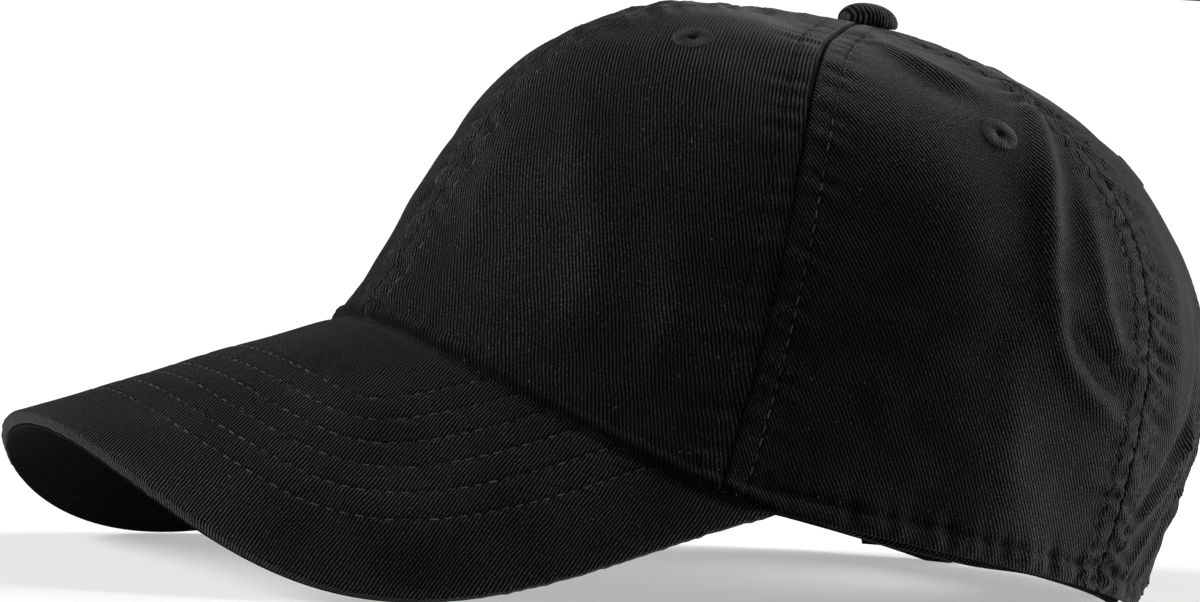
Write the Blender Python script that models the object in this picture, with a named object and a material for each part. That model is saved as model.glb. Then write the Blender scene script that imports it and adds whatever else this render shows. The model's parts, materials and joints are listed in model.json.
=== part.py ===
"""A six-panel baseball cap: soft cotton crown, curved visor, sweatband and a buckled rear strap.

The cap stands on its visor's side edges and its rear hem. It faces -Y, the wearer's left is +X
and +Z is up. Lengths are metres. The origin lies on the ground, under the middle of the cap.
"""
import math

import bmesh
import bpy
import numpy as np
from mathutils import Matrix, Vector

MM = 0.001
GAP = 0.3 * MM                     # clearance between neighbouring pieces
LAYER_GAP = 0.5 * MM               # clearance between curved layers

# Head opening, seen from above
HEM_CENTRE_Y = 32.7 * MM
HEM_HALF_WIDTH = 82.0 * MM
HEM_HALF_LENGTH = 99.0 * MM
HEM_SQUARENESS = 2.25              # 2 is an ellipse, more is squarer
REST_ANGLE = 143.0                 # behind this angle the hem lies flat on the ground
HEM_CURVE = 0.96

# Crown
BUTTON_Y = HEM_CENTRE_Y + 28.0 * MM     # the six seams meet here
CROWN_HEIGHT = 133.0 * MM
WALL_LEAN = (0.94, -0.32, 0.08)    # how far the wall stands out: mean, front-back, four-way
WALL_RISE = (0.55, 0.20)
SHOULDER = (1.00, -0.295, 0.03)
SHOULDER_LIFT = (-2.7 * MM, 15.2 * MM, 0.2 * MM)
FRONT_SEAM = 66.0                  # degrees from the middle of the front
REAR_SEAM = 127.5
FRONT_SEAM_BOW = 5.4               # degrees that a seam bows at mid height
REAR_SEAM_BOW = 6.3
PANEL_THICK = 1.0 * MM
PANEL_COLUMNS = 9
PANEL_ROWS = 15
CROWN_TOP_T = 0.988                # the panels end at a small hole under the button
EYELET_PLACES = ((37.0, 0.666), (111.7, 0.669), (158.0, 0.67))     # angle and height on the crown
EYELET_HOLE = 2.6 * MM             # radius cut through the panel
EYELET_BORE = 1.3 * MM
EYELET_FLANGE = 4.4 * MM
EYELET_BACK = 3.6 * MM

# Rear opening
ARCH_HALF_ANGLE = 29.0
ARCH_HEIGHT = 50.0 * MM
BINDING_ANGLE = 6.0                # width of the binding around the arch
BINDING_RISE = 8.0 * MM
BINDING_FOOT = 27.0 * MM

# Visor
VISOR_RADIUS = 85.5 * MM           # cross curve
VISOR_SLOPE = 17.0                 # degrees down towards the front
VISOR_TOP_Z = 58.8 * MM            # top of the visor where it meets the crown in front
VISOR_CORNER = 74.5                # hem angle where the visor ends
VISOR_LENGTH = 82.5 * MM
VISOR_SIDE_PULL = (-5.0 * MM, 50.0 * MM)
VISOR_FRONT_PULL = 128.0 * MM
VISOR_TIP = 0.02
VISOR_CORNER_TRIM = 0.8            # degrees
BOARD_TRIM = 2                     # columns that the board stops short of the visor's corners
COVER_THICK = 0.9 * MM
BOARD_THICK = 1.7 * MM

# Lining
TAPE_THICK = 0.5 * MM
TAPE_HALF_WIDTH = 8.0 * MM
TAPE_TOP_T = 0.955
TAPE_MITRE = 0.36                  # half width near the top, as a share of the way to the axis
SWEATBAND_THICK = 0.9 * MM
SWEATBAND_HEIGHT = 32.0 * MM
SWEATBAND_INSET = 2.8 * MM         # from the crown's outside to the sweatband
SWEATBAND_END = 148.0
SWEATBAND_DIP = 1.8 * MM           # its lower edge dips below the hem beside the visor
DIP_ANGLES = (1.35, 1.6, 1.8, 2.1)      # radians: the dip starts, is full, eases and ends
BEHIND_ANGLES = (96.0, 122.0)      # between these it leaves the wall to clear the strap
LABEL_THICK = 0.4 * MM
LABEL_ANGLES = (96.0, 112.0)
LABEL_HEIGHTS = (35.0 * MM, 62.0 * MM)  # along the panel, above the hem

# Strap and buckle: angles are measured around the button's axis, from the middle of the back
STRAP_RADIUS = 71.5 * MM
STRAP_THICK = 1.2 * MM
STRAP_BOTTOM = 3.0 * MM
STRAP_WIDTH = 19.0 * MM
STRAP_SEWN_ANGLE = -57.0
STRAP_FREE_ANGLE = 46.0
TAB_THICK = 0.7 * MM
TAB_ANGLES = (38.5, 31.5)
BUCKLE_ANGLE = 22.0
BUCKLE_HALF = (8.5 * MM, 11.4 * MM)
BUCKLE_BACK = -2.4 * MM
BUCKLE_FRONT = 3.6 * MM
BUCKLE_BAR = 1.6 * MM
BUCKLE_FLOOR = 0.9 * MM
PIN_AT = (-5.5 * MM, 2.3 * MM)
PIN_RADIUS = 0.6 * MM
PIN_PLAY = 0.25 * MM
CAM_RADIUS = 1.4 * MM
CLASP_LOW = 1.7 * MM               # underside of the cover plate, out from the pin
CLASP_THICK = 0.9 * MM
CLASP_LENGTH = 10.7 * MM

# Button
BUTTON_RADIUS = 7.2 * MM
BUTTON_TALL = 4.6 * MM
BUTTON_TILT = 6.0                  # degrees, leaning back with the crown's top
STEM_RADIUS = 1.8 * MM
BUTTON_BASE = 0.9 * MM             # the cover's rim above the crown's top
BUTTON_WALL = 0.8 * MM
DOME_ANGLES = (0.0, 25.0, 50.0, 72.0)
PLATE_RADIUS = 8.5 * MM

COTTON = (0.012, 0.012, 0.013)
LINING = (0.008, 0.008, 0.009)
BRASS = (0.30, 0.21, 0.10)
STEEL = (0.42, 0.42, 0.43)
BOARD = (0.03, 0.03, 0.03)


def material(name, colour, roughness=0.9, metallic=0.0):
    made = bpy.data.materials.new(name)
    made.use_nodes = True
    shader = made.node_tree.nodes["Principled BSDF"]
    shader.inputs["Base Color"].default_value = (*colour, 1.0)
    shader.inputs["Roughness"].default_value = roughness
    shader.inputs["Metallic"].default_value = metallic
    return made


def add_object(name, mesh_maker, finish):
    """Link one new object, its mesh in world space and its normals pointing out."""
    bmesh.ops.recalc_face_normals(mesh_maker, faces=mesh_maker.faces)
    mesh = bpy.data.meshes.new(name)
    mesh_maker.to_mesh(mesh)
    mesh_maker.free()
    mesh.shade_smooth()
    mesh.set_sharp_from_angle(angle=math.radians(40))
    mesh.materials.append(finish)
    made = bpy.data.objects.new(name, mesh)
    bpy.context.scene.collection.objects.link(made)
    return made


def closed_sheet(name, outer, inner, finish):
    """A thin solid between two grids of points, closed by a rim, its diagonals all one way."""
    rows, columns = outer.shape[:2]
    maker = bmesh.new()
    sides = []
    for grid in (outer, inner):
        sides.append([[maker.verts.new(grid[r, c]) for c in range(columns)] for r in range(rows)])
    for side in sides:
        for r in range(rows - 1):
            for c in range(columns - 1):
                low = (side[r][c], side[r][c + 1], side[r + 1][c + 1])
                high = (side[r][c], side[r + 1][c + 1], side[r + 1][c])
                maker.faces.new(low if side is sides[0] else low[::-1])
                maker.faces.new(high if side is sides[0] else high[::-1])
    edge = [(0, c) for c in range(columns)] + [(r, columns - 1) for r in range(1, rows)]
    edge += [(rows - 1, c) for c in range(columns - 2, -1, -1)]
    edge += [(r, 0) for r in range(rows - 2, 0, -1)]
    for here, there in zip(edge, edge[1:] + edge[:1]):
        out, back = sides
        maker.faces.new((out[there[0]][there[1]], out[here[0]][here[1]],
                         back[here[0]][here[1]], back[there[0]][there[1]]))
    return add_object(name, maker, finish)


# The crown as a surface: angle goes around from the front, t goes from the hem (0) to the top (1)

def waves(weights, angle):
    return sum(weight * np.cos(k * angle) for k, weight in enumerate(weights))


def hem_plan(angle):
    side, front = np.sin(angle), np.cos(angle)
    reach = (np.abs(side) ** HEM_SQUARENESS + np.abs(front) ** HEM_SQUARENESS)
    reach = reach ** (-1.0 / HEM_SQUARENESS)
    return HEM_HALF_WIDTH * side * reach, HEM_CENTRE_Y - HEM_HALF_LENGTH * front * reach


def visor_lay(x, y):
    """Height of the visor's top over a plan point, and its distance along the visor."""
    slope = math.radians(VISOR_SLOPE)
    drop = VISOR_RADIUS - np.sqrt(VISOR_RADIUS ** 2 - x ** 2)
    along = (HEM_CENTRE_Y - HEM_HALF_LENGTH + math.sin(slope) * drop - y) / math.cos(slope)
    return VISOR_TOP_Z - along * math.sin(slope) - drop * math.cos(slope), along


def hem_height(angle):
    turn = np.abs(angle)
    corner = math.radians(VISOR_CORNER)
    level = visor_lay(*hem_plan(np.minimum(turn, corner)))[0]
    back = np.clip((turn - corner) / (math.radians(REST_ANGLE) - corner), 0.0, 1.0)
    return level * (1.0 - back) ** HEM_CURVE


def crown_skin(angle, t):
    angle, t = np.broadcast_arrays(np.asarray(angle, float), np.asarray(t, float))
    x, y = hem_plan(angle)
    z = hem_height(angle)
    rise = CROWN_HEIGHT - z
    start, low, high, end = (1 - t) ** 3, 3 * t * (1 - t) ** 2, 3 * t * t * (1 - t), t ** 3
    reach = start + low * waves(WALL_LEAN, angle) + high * waves(SHOULDER, angle)
    height = start * z + low * (z + waves(WALL_RISE, angle) * rise) + end * CROWN_HEIGHT
    height = height + high * (CROWN_HEIGHT + waves(SHOULDER_LIFT, angle))
    return np.stack((reach * x, BUTTON_Y + reach * (y - BUTTON_Y), height), axis=-1)


def crown_normal(angle, t):
    step = 1e-4
    around = crown_skin(angle + step, t) - crown_skin(angle - step, t)
    upward = crown_skin(angle, t + step) - crown_skin(angle, t - step)
    normal = np.cross(around, upward)
    return normal / np.linalg.norm(normal, axis=-1, keepdims=True)


def crown_layer(angle, t, depth):
    """Points at a depth inside the crown's outer skin."""
    return crown_skin(angle, t) - depth * crown_normal(angle, t)


def angle_for_width(angle, t, width):
    """How far to turn for a distance across the crown."""
    step = 1e-3
    across = crown_skin(angle + step, t) - crown_skin(angle - step, t)
    return width * 2 * step / np.linalg.norm(across, axis=-1)


def t_at_length(angle, length):
    """The height parameter where the skin is a given length above the hem."""
    samples = np.linspace(0.0, 0.8, 81)
    found = np.empty(np.broadcast(angle, length).shape)
    pairs = np.nditer([*np.broadcast_arrays(angle, length)], flags=["multi_index"])
    for turn, wanted in pairs:
        points = crown_skin(np.full(samples.shape, float(turn)), samples)
        run = np.concatenate(([0.0], np.cumsum(np.linalg.norm(np.diff(points, axis=0), axis=1))))
        found[pairs.multi_index] = np.interp(float(wanted), run, samples)
    return found


def seam_angle(seam, t):
    """A seam's angle at a height, in radians. Seams 0 and 180 are straight."""
    bow = {FRONT_SEAM: FRONT_SEAM_BOW, REAR_SEAM: REAR_SEAM_BOW}.get(abs(seam), 0.0)
    return np.radians(seam + math.copysign(bow, seam) * np.sin(np.pi * t))


# Crown pieces

def arch_foot(angle):
    """Length above the hem where the rear opening's edge runs, zero beside the opening."""
    across = np.clip((math.pi - np.abs(angle)) / math.radians(ARCH_HALF_ANGLE), 0.0, 1.0)
    return ARCH_HEIGHT * np.sqrt(1.0 - across ** 2)


def panel_grid(first_seam, last_seam, shares):
    """Angles and heights of a panel's points; shares are its columns' places, 0 to 1."""
    nominal = np.radians(first_seam + (last_seam - first_seam) * shares)
    foot = t_at_length(nominal, arch_foot(nominal))
    climb = np.linspace(0.0, 1.0, PANEL_ROWS)[:, None]
    t = foot + (CROWN_TOP_T - foot) * climb
    left = seam_angle(first_seam, t[:, :1])
    right = seam_angle(last_seam, t[:, -1:])
    left = left + angle_for_width(left, t[:, :1], GAP / 2)
    right = right - angle_for_width(right, t[:, -1:], GAP / 2)
    return left + (right - left) * shares, t


def crown_panel(name, first_seam, last_seam, shares, eyelet):
    angle, t = panel_grid(first_seam, last_seam, shares)
    outer = crown_layer(angle, t, 0.0)
    inner = crown_layer(angle, t, PANEL_THICK)
    inner[0, :, 2] = outer[0, :, 2]                  # the hem's edge is level
    panel = closed_sheet(name, outer, inner, material(name, COTTON))
    punch_eyelet(panel, eyelet)
    return panel


def surface_frame(angle, t):
    """A matrix whose Z axis stands out of the crown at a point."""
    place = Vector(crown_skin(angle, t))
    out = Vector(crown_normal(angle, t))
    return Matrix.Translation(place) @ out.to_track_quat("Z", "Y").to_matrix().to_4x4()


def punch_eyelet(panel, eyelet):
    maker = bmesh.new()
    frame = surface_frame(*eyelet)
    bmesh.ops.create_cone(maker, cap_ends=True, segments=12, radius1=EYELET_HOLE,
                          radius2=EYELET_HOLE, depth=12 * MM, matrix=frame)
    punch = add_object(panel.name + "_punch", maker, panel.data.materials[0])
    cut_with(panel, punch)


def cut_with(target, cutter):
    cutter.hide_render = True
    cutter.display_type = "WIRE"
    cut = target.modifiers.new("cut", "BOOLEAN")
    cut.operation = "DIFFERENCE"
    cut.solver = "EXACT"
    cut.object = cutter


def turned_ring(name, profile, frame, finish, segments=12):
    """Turn a closed profile of (radius, height) points around a frame's Z axis."""
    maker = bmesh.new()
    rings = []
    for k in range(segments):
        turn = 2 * math.pi * k / segments
        ring = [maker.verts.new(frame @ Vector((r * math.cos(turn), r * math.sin(turn), h)))
                for r, h in profile]
        rings.append(ring)
    for k in range(segments):
        here, there = rings[k], rings[(k + 1) % segments]
        for j in range(len(profile)):
            following = (j + 1) % len(profile)
            maker.faces.new((here[j], there[j], there[following], here[following]))
    return add_object(name, maker, finish)


def embroidered_eyelet(name, place):
    """Thread wound through the hole: a flange outside, a neck and a smaller flange inside."""
    bore, flange, back = EYELET_BORE, EYELET_FLANGE, EYELET_BACK
    neck = EYELET_HOLE - GAP
    out = GAP
    inside = -PANEL_THICK - 0.8 * MM
    profile = ((bore, inside - 0.5 * MM), (back, inside - 0.4 * MM), (back, inside),
               (neck, inside), (neck, out), (flange, out), (flange - 0.4 * MM, out + 0.7 * MM),
               (bore + 0.5 * MM, out + 0.9 * MM), (bore, out + 0.4 * MM))
    return turned_ring(name, profile, surface_frame(*place), material(name, COTTON, 0.7))


def crown_panels():
    even = np.linspace(0.0, 1.0, PANEL_COLUMNS)
    opening = (180.0 - ARCH_HALF_ANGLE - REAR_SEAM) / (180.0 - REAR_SEAM)
    curl = 1.0 - (1.0 - opening) * np.cos(np.linspace(0.0, math.pi / 2, PANEL_COLUMNS))
    rear = np.concatenate((np.linspace(0.0, opening, 4)[:-1], curl))
    spans = (("front", 0.0, FRONT_SEAM, even), ("side", FRONT_SEAM, REAR_SEAM, even),
             ("back", REAR_SEAM, 180.0, rear))
    for (part, first, last, shares), (degrees, height) in zip(spans, EYELET_PLACES):
        turn = math.radians(degrees)
        crown_panel(f"crown_panel_{part}_left", first, last, shares, (turn, height))
        crown_panel(f"crown_panel_{part}_right", -last, -first, 1.0 - shares[::-1], (-turn, height))
        embroidered_eyelet(f"eyelet_{part}_left", (turn, height))
        embroidered_eyelet(f"eyelet_{part}_right", (-turn, height))


# Lining pieces

def seam_tape(name, seam, foot_length):
    """Tape over a seam's inside, mitred where the tapes run together under the button."""
    foot = float(t_at_length(np.radians(seam), foot_length))
    t = np.linspace(foot, TAPE_TOP_T, 15)[:, None]
    middle = seam_angle(seam, t)
    from_top = np.linalg.norm(crown_skin(middle, t)[..., :2] - (0.0, BUTTON_Y), axis=-1)
    half = np.minimum(TAPE_HALF_WIDTH, from_top * TAPE_MITRE)
    spread = np.linspace(-1.0, 1.0, 4) * angle_for_width(middle, t, half)
    depth = PANEL_THICK + LAYER_GAP
    outer = crown_layer(middle + spread, t, depth)
    inner = crown_layer(middle + spread, t, depth + TAPE_THICK)
    return closed_sheet(name, outer, inner, material(name, LINING))


def seam_tapes():
    behind_band = SWEATBAND_HEIGHT - 3 * MM
    seam_tape("seam_tape_front_centre", 0.0, behind_band)
    seam_tape("seam_tape_rear_centre", 180.0, ARCH_HEIGHT + BINDING_RISE + 1.5 * MM)
    for side, sign in (("left", 1.0), ("right", -1.0)):
        seam_tape(f"seam_tape_front_{side}", sign * FRONT_SEAM, behind_band)
        seam_tape(f"seam_tape_rear_{side}", sign * REAR_SEAM, behind_band)


def opening_binding():
    """Binding inside the rear opening's edge, from the strap's top over the arch and back."""
    start = math.asin(BINDING_FOOT / ARCH_HEIGHT)
    turn = np.linspace(start, math.pi - start, 19)
    band = np.linspace(0.0, 1.0, 3)[:, None]
    half = np.radians(ARCH_HALF_ANGLE + 0.3 + band * BINDING_ANGLE)
    angle = math.pi - half * np.cos(turn)
    length = (ARCH_HEIGHT + band * BINDING_RISE) * np.sin(turn)
    t = t_at_length(angle, length)
    depth = PANEL_THICK + LAYER_GAP
    outer = crown_layer(angle, t, depth)
    inner = crown_layer(angle, t, depth + TAPE_THICK)
    return closed_sheet("rear_opening_binding", outer, inner, material("binding", LINING))


def smooth_step(value, low, high):
    share = np.clip((value - low) / (high - low), 0.0, 1.0)
    return share * share * (3 - 2 * share)


def sweatband_layer(angle, t, extra):
    """The sweatband follows the wall, and stands clear of the strap at the rear."""
    points = crown_layer(angle, t, SWEATBAND_INSET + extra)
    out = points[..., :2] - (0.0, BUTTON_Y)
    reach = np.linalg.norm(out, axis=-1)
    room = STRAP_RADIUS - STRAP_THICK - 0.5 * MM - extra
    behind = smooth_step(np.abs(angle), *np.radians(BEHIND_ANGLES))
    wanted = reach + behind * (np.minimum(reach, room) - reach)
    points[..., :2] = (0.0, BUTTON_Y) + out * (wanted / reach)[..., None]
    return points


def sweatband():
    end = math.radians(SWEATBAND_END)
    angle = np.linspace(-end, end, 61)
    length = np.linspace(0.0, SWEATBAND_HEIGHT, 4)[:, None]
    t = t_at_length(angle, length)
    outer = sweatband_layer(angle, t, 0.0)
    inner = sweatband_layer(angle, t, SWEATBAND_THICK)
    dips, full, eases, ends = DIP_ANGLES
    side = smooth_step(np.abs(angle), dips, full) * (1 - smooth_step(np.abs(angle), eases, ends))
    for layer in (outer, inner):
        layer[0, :, 2] = hem_height(angle) + GAP - SWEATBAND_DIP * side
    return closed_sheet("sweatband", outer, inner, material("sweatband", LINING))


def care_label():
    """A blank sewn-in label above the sweatband, inside the right side panel."""
    angle = -np.radians(np.linspace(*LABEL_ANGLES, 4))
    length = np.linspace(*LABEL_HEIGHTS, 4)[:, None]
    t = t_at_length(angle, length)
    depth = PANEL_THICK + LAYER_GAP
    outer = crown_layer(angle, t, depth)
    inner = crown_layer(angle, t, depth + LABEL_THICK)
    return closed_sheet("care_label", outer, inner, material("care_label", (0.5, 0.5, 0.48)))


# Visor

def visor_points(across, along, depth):
    """Points of the visor from its flat pattern, at a depth under its top."""
    slope = math.radians(VISOR_SLOPE)
    turn = across / VISOR_RADIUS
    drop = VISOR_RADIUS - (VISOR_RADIUS - depth) * np.cos(turn)
    x = (VISOR_RADIUS - depth) * np.sin(turn)
    y = HEM_CENTRE_Y - HEM_HALF_LENGTH - along * math.cos(slope) + math.sin(slope) * drop
    z = VISOR_TOP_Z - along * math.sin(slope) - drop * math.cos(slope)
    return np.stack(np.broadcast_arrays(x, y, z), axis=-1)


def visor_pattern(columns=31):
    """Flat pattern of the visor: its inner and outer edges from the right corner to the left."""
    place = np.linspace(-1.0, 1.0, columns)
    x, y = hem_plan(math.radians(VISOR_CORNER - VISOR_CORNER_TRIM) * place)
    inner = np.stack((VISOR_RADIUS * np.arcsin(x / VISOR_RADIUS), visor_lay(x, y)[1] + GAP), -1)
    corner_x, corner_y = hem_plan(np.array(math.radians(VISOR_CORNER)))
    corner = np.array((VISOR_RADIUS * math.asin(corner_x / VISOR_RADIUS),
                       float(visor_lay(corner_x, corner_y)[1])))
    u = (VISOR_TIP + (1.0 - VISOR_TIP) * (1.0 - np.abs(place)))[:, None]
    pulls = (corner, corner + VISOR_SIDE_PULL, np.array((VISOR_FRONT_PULL, VISOR_LENGTH)),
             np.array((0.0, VISOR_LENGTH)))
    weights = ((1 - u) ** 3, 3 * u * (1 - u) ** 2, 3 * u * u * (1 - u), u ** 3)
    outer = sum(weight * pull for weight, pull in zip(weights, pulls))
    outer[:, 0] *= np.sign(place)
    return inner, outer


def visor_rows(shares, insets, depths, trim=0):
    """Rows of points from the crown to the visor's edge, each pulled back by its inset."""
    inner, outer = visor_pattern()
    tangent = np.gradient(outer, axis=0)
    inward = np.stack((tangent[:, 1], -tangent[:, 0]), axis=-1)
    inward /= np.linalg.norm(inward, axis=1, keepdims=True)
    inward *= np.sign(np.sum(inward * (inner - outer), axis=1, keepdims=True))
    width = np.sum(inward * (inner - outer), axis=1)
    kept = slice(trim, len(inner) - trim)
    rows = []
    for share, inset, depth in zip(shares, insets, depths):
        back = np.minimum(inset, 0.3 * width)[:, None]
        mixed = (inner + (outer - inner) * share + inward * back)[kept]
        rows.append(visor_points(mixed[:, 0], mixed[:, 1], depth))
    return np.array(rows)


def visor_layer(name, top, thick, inset, finish):
    shares = np.linspace(0.0, 1.0, 7)
    insets = [0.0] * 6 + [inset]
    outer = visor_rows(shares, insets, [top] * 7, BOARD_TRIM)
    inner = visor_rows(shares, insets, [top + thick] * 7, BOARD_TRIM)
    return closed_sheet(name, outer, inner, finish)


def visor_top_cover():
    """The top fabric, wrapped around the board's edge."""
    deep = 2 * COVER_THICK + BOARD_THICK + 2 * GAP
    shares = list(np.linspace(0.0, 1.0, 7)) + [1.0, 1.0]
    outer = visor_rows(shares, [0.0] * 6 + [0.7 * MM, 0.0, 0.0],
                       [0.0] * 7 + [0.9 * MM, deep])
    inner = visor_rows(shares, [0.0] * 6 + [1.2 * MM] + [COVER_THICK] * 2,
                       [COVER_THICK] * 7 + [1.2 * MM, deep])
    return closed_sheet("visor_top_cover", outer, inner, material("visor_top", COTTON))


def visor():
    visor_top_cover()
    edge = COVER_THICK + 1.6 * LAYER_GAP
    board_top = COVER_THICK + GAP
    visor_layer("visor_board", board_top, BOARD_THICK, edge, material("board", BOARD, 0.5))
    visor_layer("visor_under_cover", board_top + BOARD_THICK + GAP, COVER_THICK, edge,
                material("visor_under", COTTON))


# Button

def button():
    top = Vector((0.0, BUTTON_Y, CROWN_HEIGHT))
    frame = Matrix.Translation(top) @ Matrix.Rotation(-math.radians(BUTTON_TILT), 4, "X")
    base, wall = BUTTON_BASE, BUTTON_WALL
    angles = np.radians(DOME_ANGLES)
    skirt = 1.0 * MM
    dome = [(BUTTON_RADIUS * math.cos(a), base + skirt + (BUTTON_TALL - skirt) * math.sin(a))
            for a in angles]
    under = [(r - wall * math.cos(a), h - wall * math.sin(a))
             for (r, h), a in zip(dome, angles)]
    cover = [(BUTTON_RADIUS - wall, base), (BUTTON_RADIUS, base)] + dome
    cover += [(0.0, base + BUTTON_TALL), (0.0, base + BUTTON_TALL - wall)] + under[::-1]
    turned_solid("button_cover", cover, frame, material("button_cover", COTTON), 20)
    room = wall + GAP
    core = [(r - room * math.cos(a), h - room * math.sin(a))
            for (r, h), a in zip(dome, angles)]
    low = -PANEL_THICK - 2 * LAYER_GAP - TAPE_THICK
    shell = [(0.0, low - 1.6 * MM), (STEM_RADIUS, low - 1.6 * MM), (STEM_RADIUS, base)]
    shell += [(BUTTON_RADIUS - room, base)] + core + [(0.0, base + BUTTON_TALL - room)]
    turned_solid("button_shell", shell, frame, material("button_shell", STEEL, 0.35, 1.0), 16)
    bore = STEM_RADIUS + GAP
    plate = ((bore, low - 1.2 * MM), (PLATE_RADIUS, low - 0.9 * MM), (PLATE_RADIUS, low - GAP),
             (bore, low - GAP))
    turned_ring("button_back_plate", plate, frame,
                material("button_back_plate", STEEL, 0.35, 1.0), 16)


def turned_solid(name, profile, frame, finish, segments):
    """Turn an open profile that starts and ends on the axis, or closes on itself."""
    maker = bmesh.new()
    poles = {j: maker.verts.new(frame @ Vector((0.0, 0.0, h)))
             for j, (r, h) in enumerate(profile) if r == 0.0}
    rings = []
    for k in range(segments):
        turn = 2 * math.pi * k / segments
        ring = [poles.get(j) or maker.verts.new(
            frame @ Vector((r * math.cos(turn), r * math.sin(turn), h)))
            for j, (r, h) in enumerate(profile)]
        rings.append(ring)
    for k in range(segments):
        here, there = rings[k], rings[(k + 1) % segments]
        for j in range(len(profile)):
            following = (j + 1) % len(profile)
            corners = (here[j], there[j], there[following], here[following])
            corners = list(dict.fromkeys(corners))
            if len(corners) > 2:
                maker.faces.new(corners)
    return add_object(name, maker, finish)


# Strap and buckle

def around_axis(angle, radius, height):
    """A point from its angle around the button's axis, measured from the back."""
    turn = np.radians(angle)
    x, y, z = np.broadcast_arrays(radius * np.sin(turn), BUTTON_Y + radius * np.cos(turn), height)
    return np.stack((x, y, z), axis=-1)


def pivot(name, place):
    """An empty on a joint's axis."""
    made = bpy.data.objects.new(name, None)
    made.location = place
    bpy.context.scene.collection.objects.link(made)
    return made


def hang_on(piece, empty):
    piece.parent = empty
    piece.matrix_parent_inverse = Matrix.Translation(-empty.location)


def strap():
    angle = np.linspace(STRAP_SEWN_ANGLE, STRAP_FREE_ANGLE, 42)
    height = np.array((STRAP_BOTTOM, STRAP_BOTTOM + STRAP_WIDTH))[:, None]
    outer = around_axis(angle, STRAP_RADIUS, height)
    inner = around_axis(angle, STRAP_RADIUS - STRAP_THICK, height)
    band = closed_sheet("strap", outer, inner, material("strap", COTTON))
    hang_on(band, pivot("strap_axis", (0.0, BUTTON_Y, 0.0)))


def buckle_frame_matrix():
    """X runs along the strap to the wearer's left, Y points out, Z is up."""
    turn = -math.radians(BUCKLE_ANGLE)
    middle = STRAP_RADIUS - STRAP_THICK / 2
    place = around_axis(BUCKLE_ANGLE, middle, STRAP_BOTTOM + STRAP_WIDTH / 2)
    return Matrix.Translation(Vector(place)) @ Matrix.Rotation(turn, 4, "Z")


def block(name, low, high, frame, finish):
    maker = bmesh.new()
    middle = (Vector(low) + Vector(high)) / 2
    size = Vector(high) - Vector(low)
    bmesh.ops.create_cube(maker, matrix=frame @ Matrix.Translation(middle) @ Matrix.Diagonal(
        (*size, 1.0)))
    return add_object(name, maker, finish)


def rod(name, radius, half, frame, finish, segments=14):
    maker = bmesh.new()
    bmesh.ops.create_cone(maker, cap_ends=True, segments=segments, radius1=radius,
                          radius2=radius, depth=2 * half, matrix=frame)
    return add_object(name, maker, finish)


def buckle():
    frame = buckle_frame_matrix()
    brass = material("buckle_frame", BRASS, 0.45, 1.0)
    half_x, half_z = BUCKLE_HALF
    slot_z = STRAP_WIDTH / 2 + 0.5 * MM
    body = block("buckle_frame", (-half_x, BUCKLE_BACK, -half_z), (half_x, BUCKLE_FRONT, half_z),
                 frame, brass)
    bar_back = BUCKLE_FRONT - BUCKLE_BAR
    inside = block("buckle_inside", (-half_x - MM, BUCKLE_BACK + BUCKLE_FLOOR, -slot_z),
                   (half_x - BUCKLE_BAR, BUCKLE_FRONT + MM, slot_z), frame, brass)
    cut_with(body, inside)
    slot = block("buckle_slot", (-half_x, BUCKLE_BACK + BUCKLE_FLOOR, -slot_z),
                 (half_x + MM, bar_back, slot_z), frame, brass)
    cut_with(body, slot)
    pin_frame = frame @ Matrix.Translation((*PIN_AT, 0.0))
    bore = rod("buckle_pin_bore", PIN_RADIUS + PIN_PLAY, half_z + MM, pin_frame, brass)
    cut_with(body, bore)
    rod("buckle_hinge_pin", PIN_RADIUS, half_z, pin_frame,
        material("buckle_hinge_pin", STEEL, 0.3, 1.0), 12)
    clasp(pin_frame, slot_z - 0.4 * MM)
    strap_tab(frame)


def clasp(pin_frame, half_z):
    """The cover plate and its cam, one piece turning on the pin."""
    bore = PIN_RADIUS + PIN_PLAY
    plate_high = CLASP_LOW + CLASP_THICK
    turns = np.radians(np.linspace(110.0, 430.0, 17))
    outline = [(CAM_RADIUS * math.cos(a), CAM_RADIUS * math.sin(a)) for a in turns]
    outline += [(CAM_RADIUS * math.cos(turns[-1]), CLASP_LOW), (CLASP_LENGTH - 0.8 * MM, CLASP_LOW),
                (CLASP_LENGTH, CLASP_LOW + CLASP_THICK / 2), (CLASP_LENGTH, plate_high),
                (CAM_RADIUS * math.cos(turns[0]) + 0.2 * MM, plate_high)]
    maker = bmesh.new()
    floor = [maker.verts.new(pin_frame @ Vector((x, y, -half_z))) for x, y in outline]
    base = maker.faces.new(floor)
    lifted = bmesh.ops.extrude_face_region(maker, geom=[base])["geom"]
    rise = pin_frame.to_3x3() @ Vector((0.0, 0.0, 2 * half_z))
    raised = [part for part in lifted if isinstance(part, bmesh.types.BMVert)]
    bmesh.ops.translate(maker, vec=rise, verts=raised)
    plate = add_object("buckle_clasp", maker, material("buckle_clasp", BRASS, 0.4, 1.0))
    hole = rod("buckle_clasp_bore", bore, half_z + MM, pin_frame, plate.data.materials[0], 12)
    cut_with(plate, hole)
    hang_on(plate, pivot("buckle_clasp_axis", pin_frame.translation))


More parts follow.
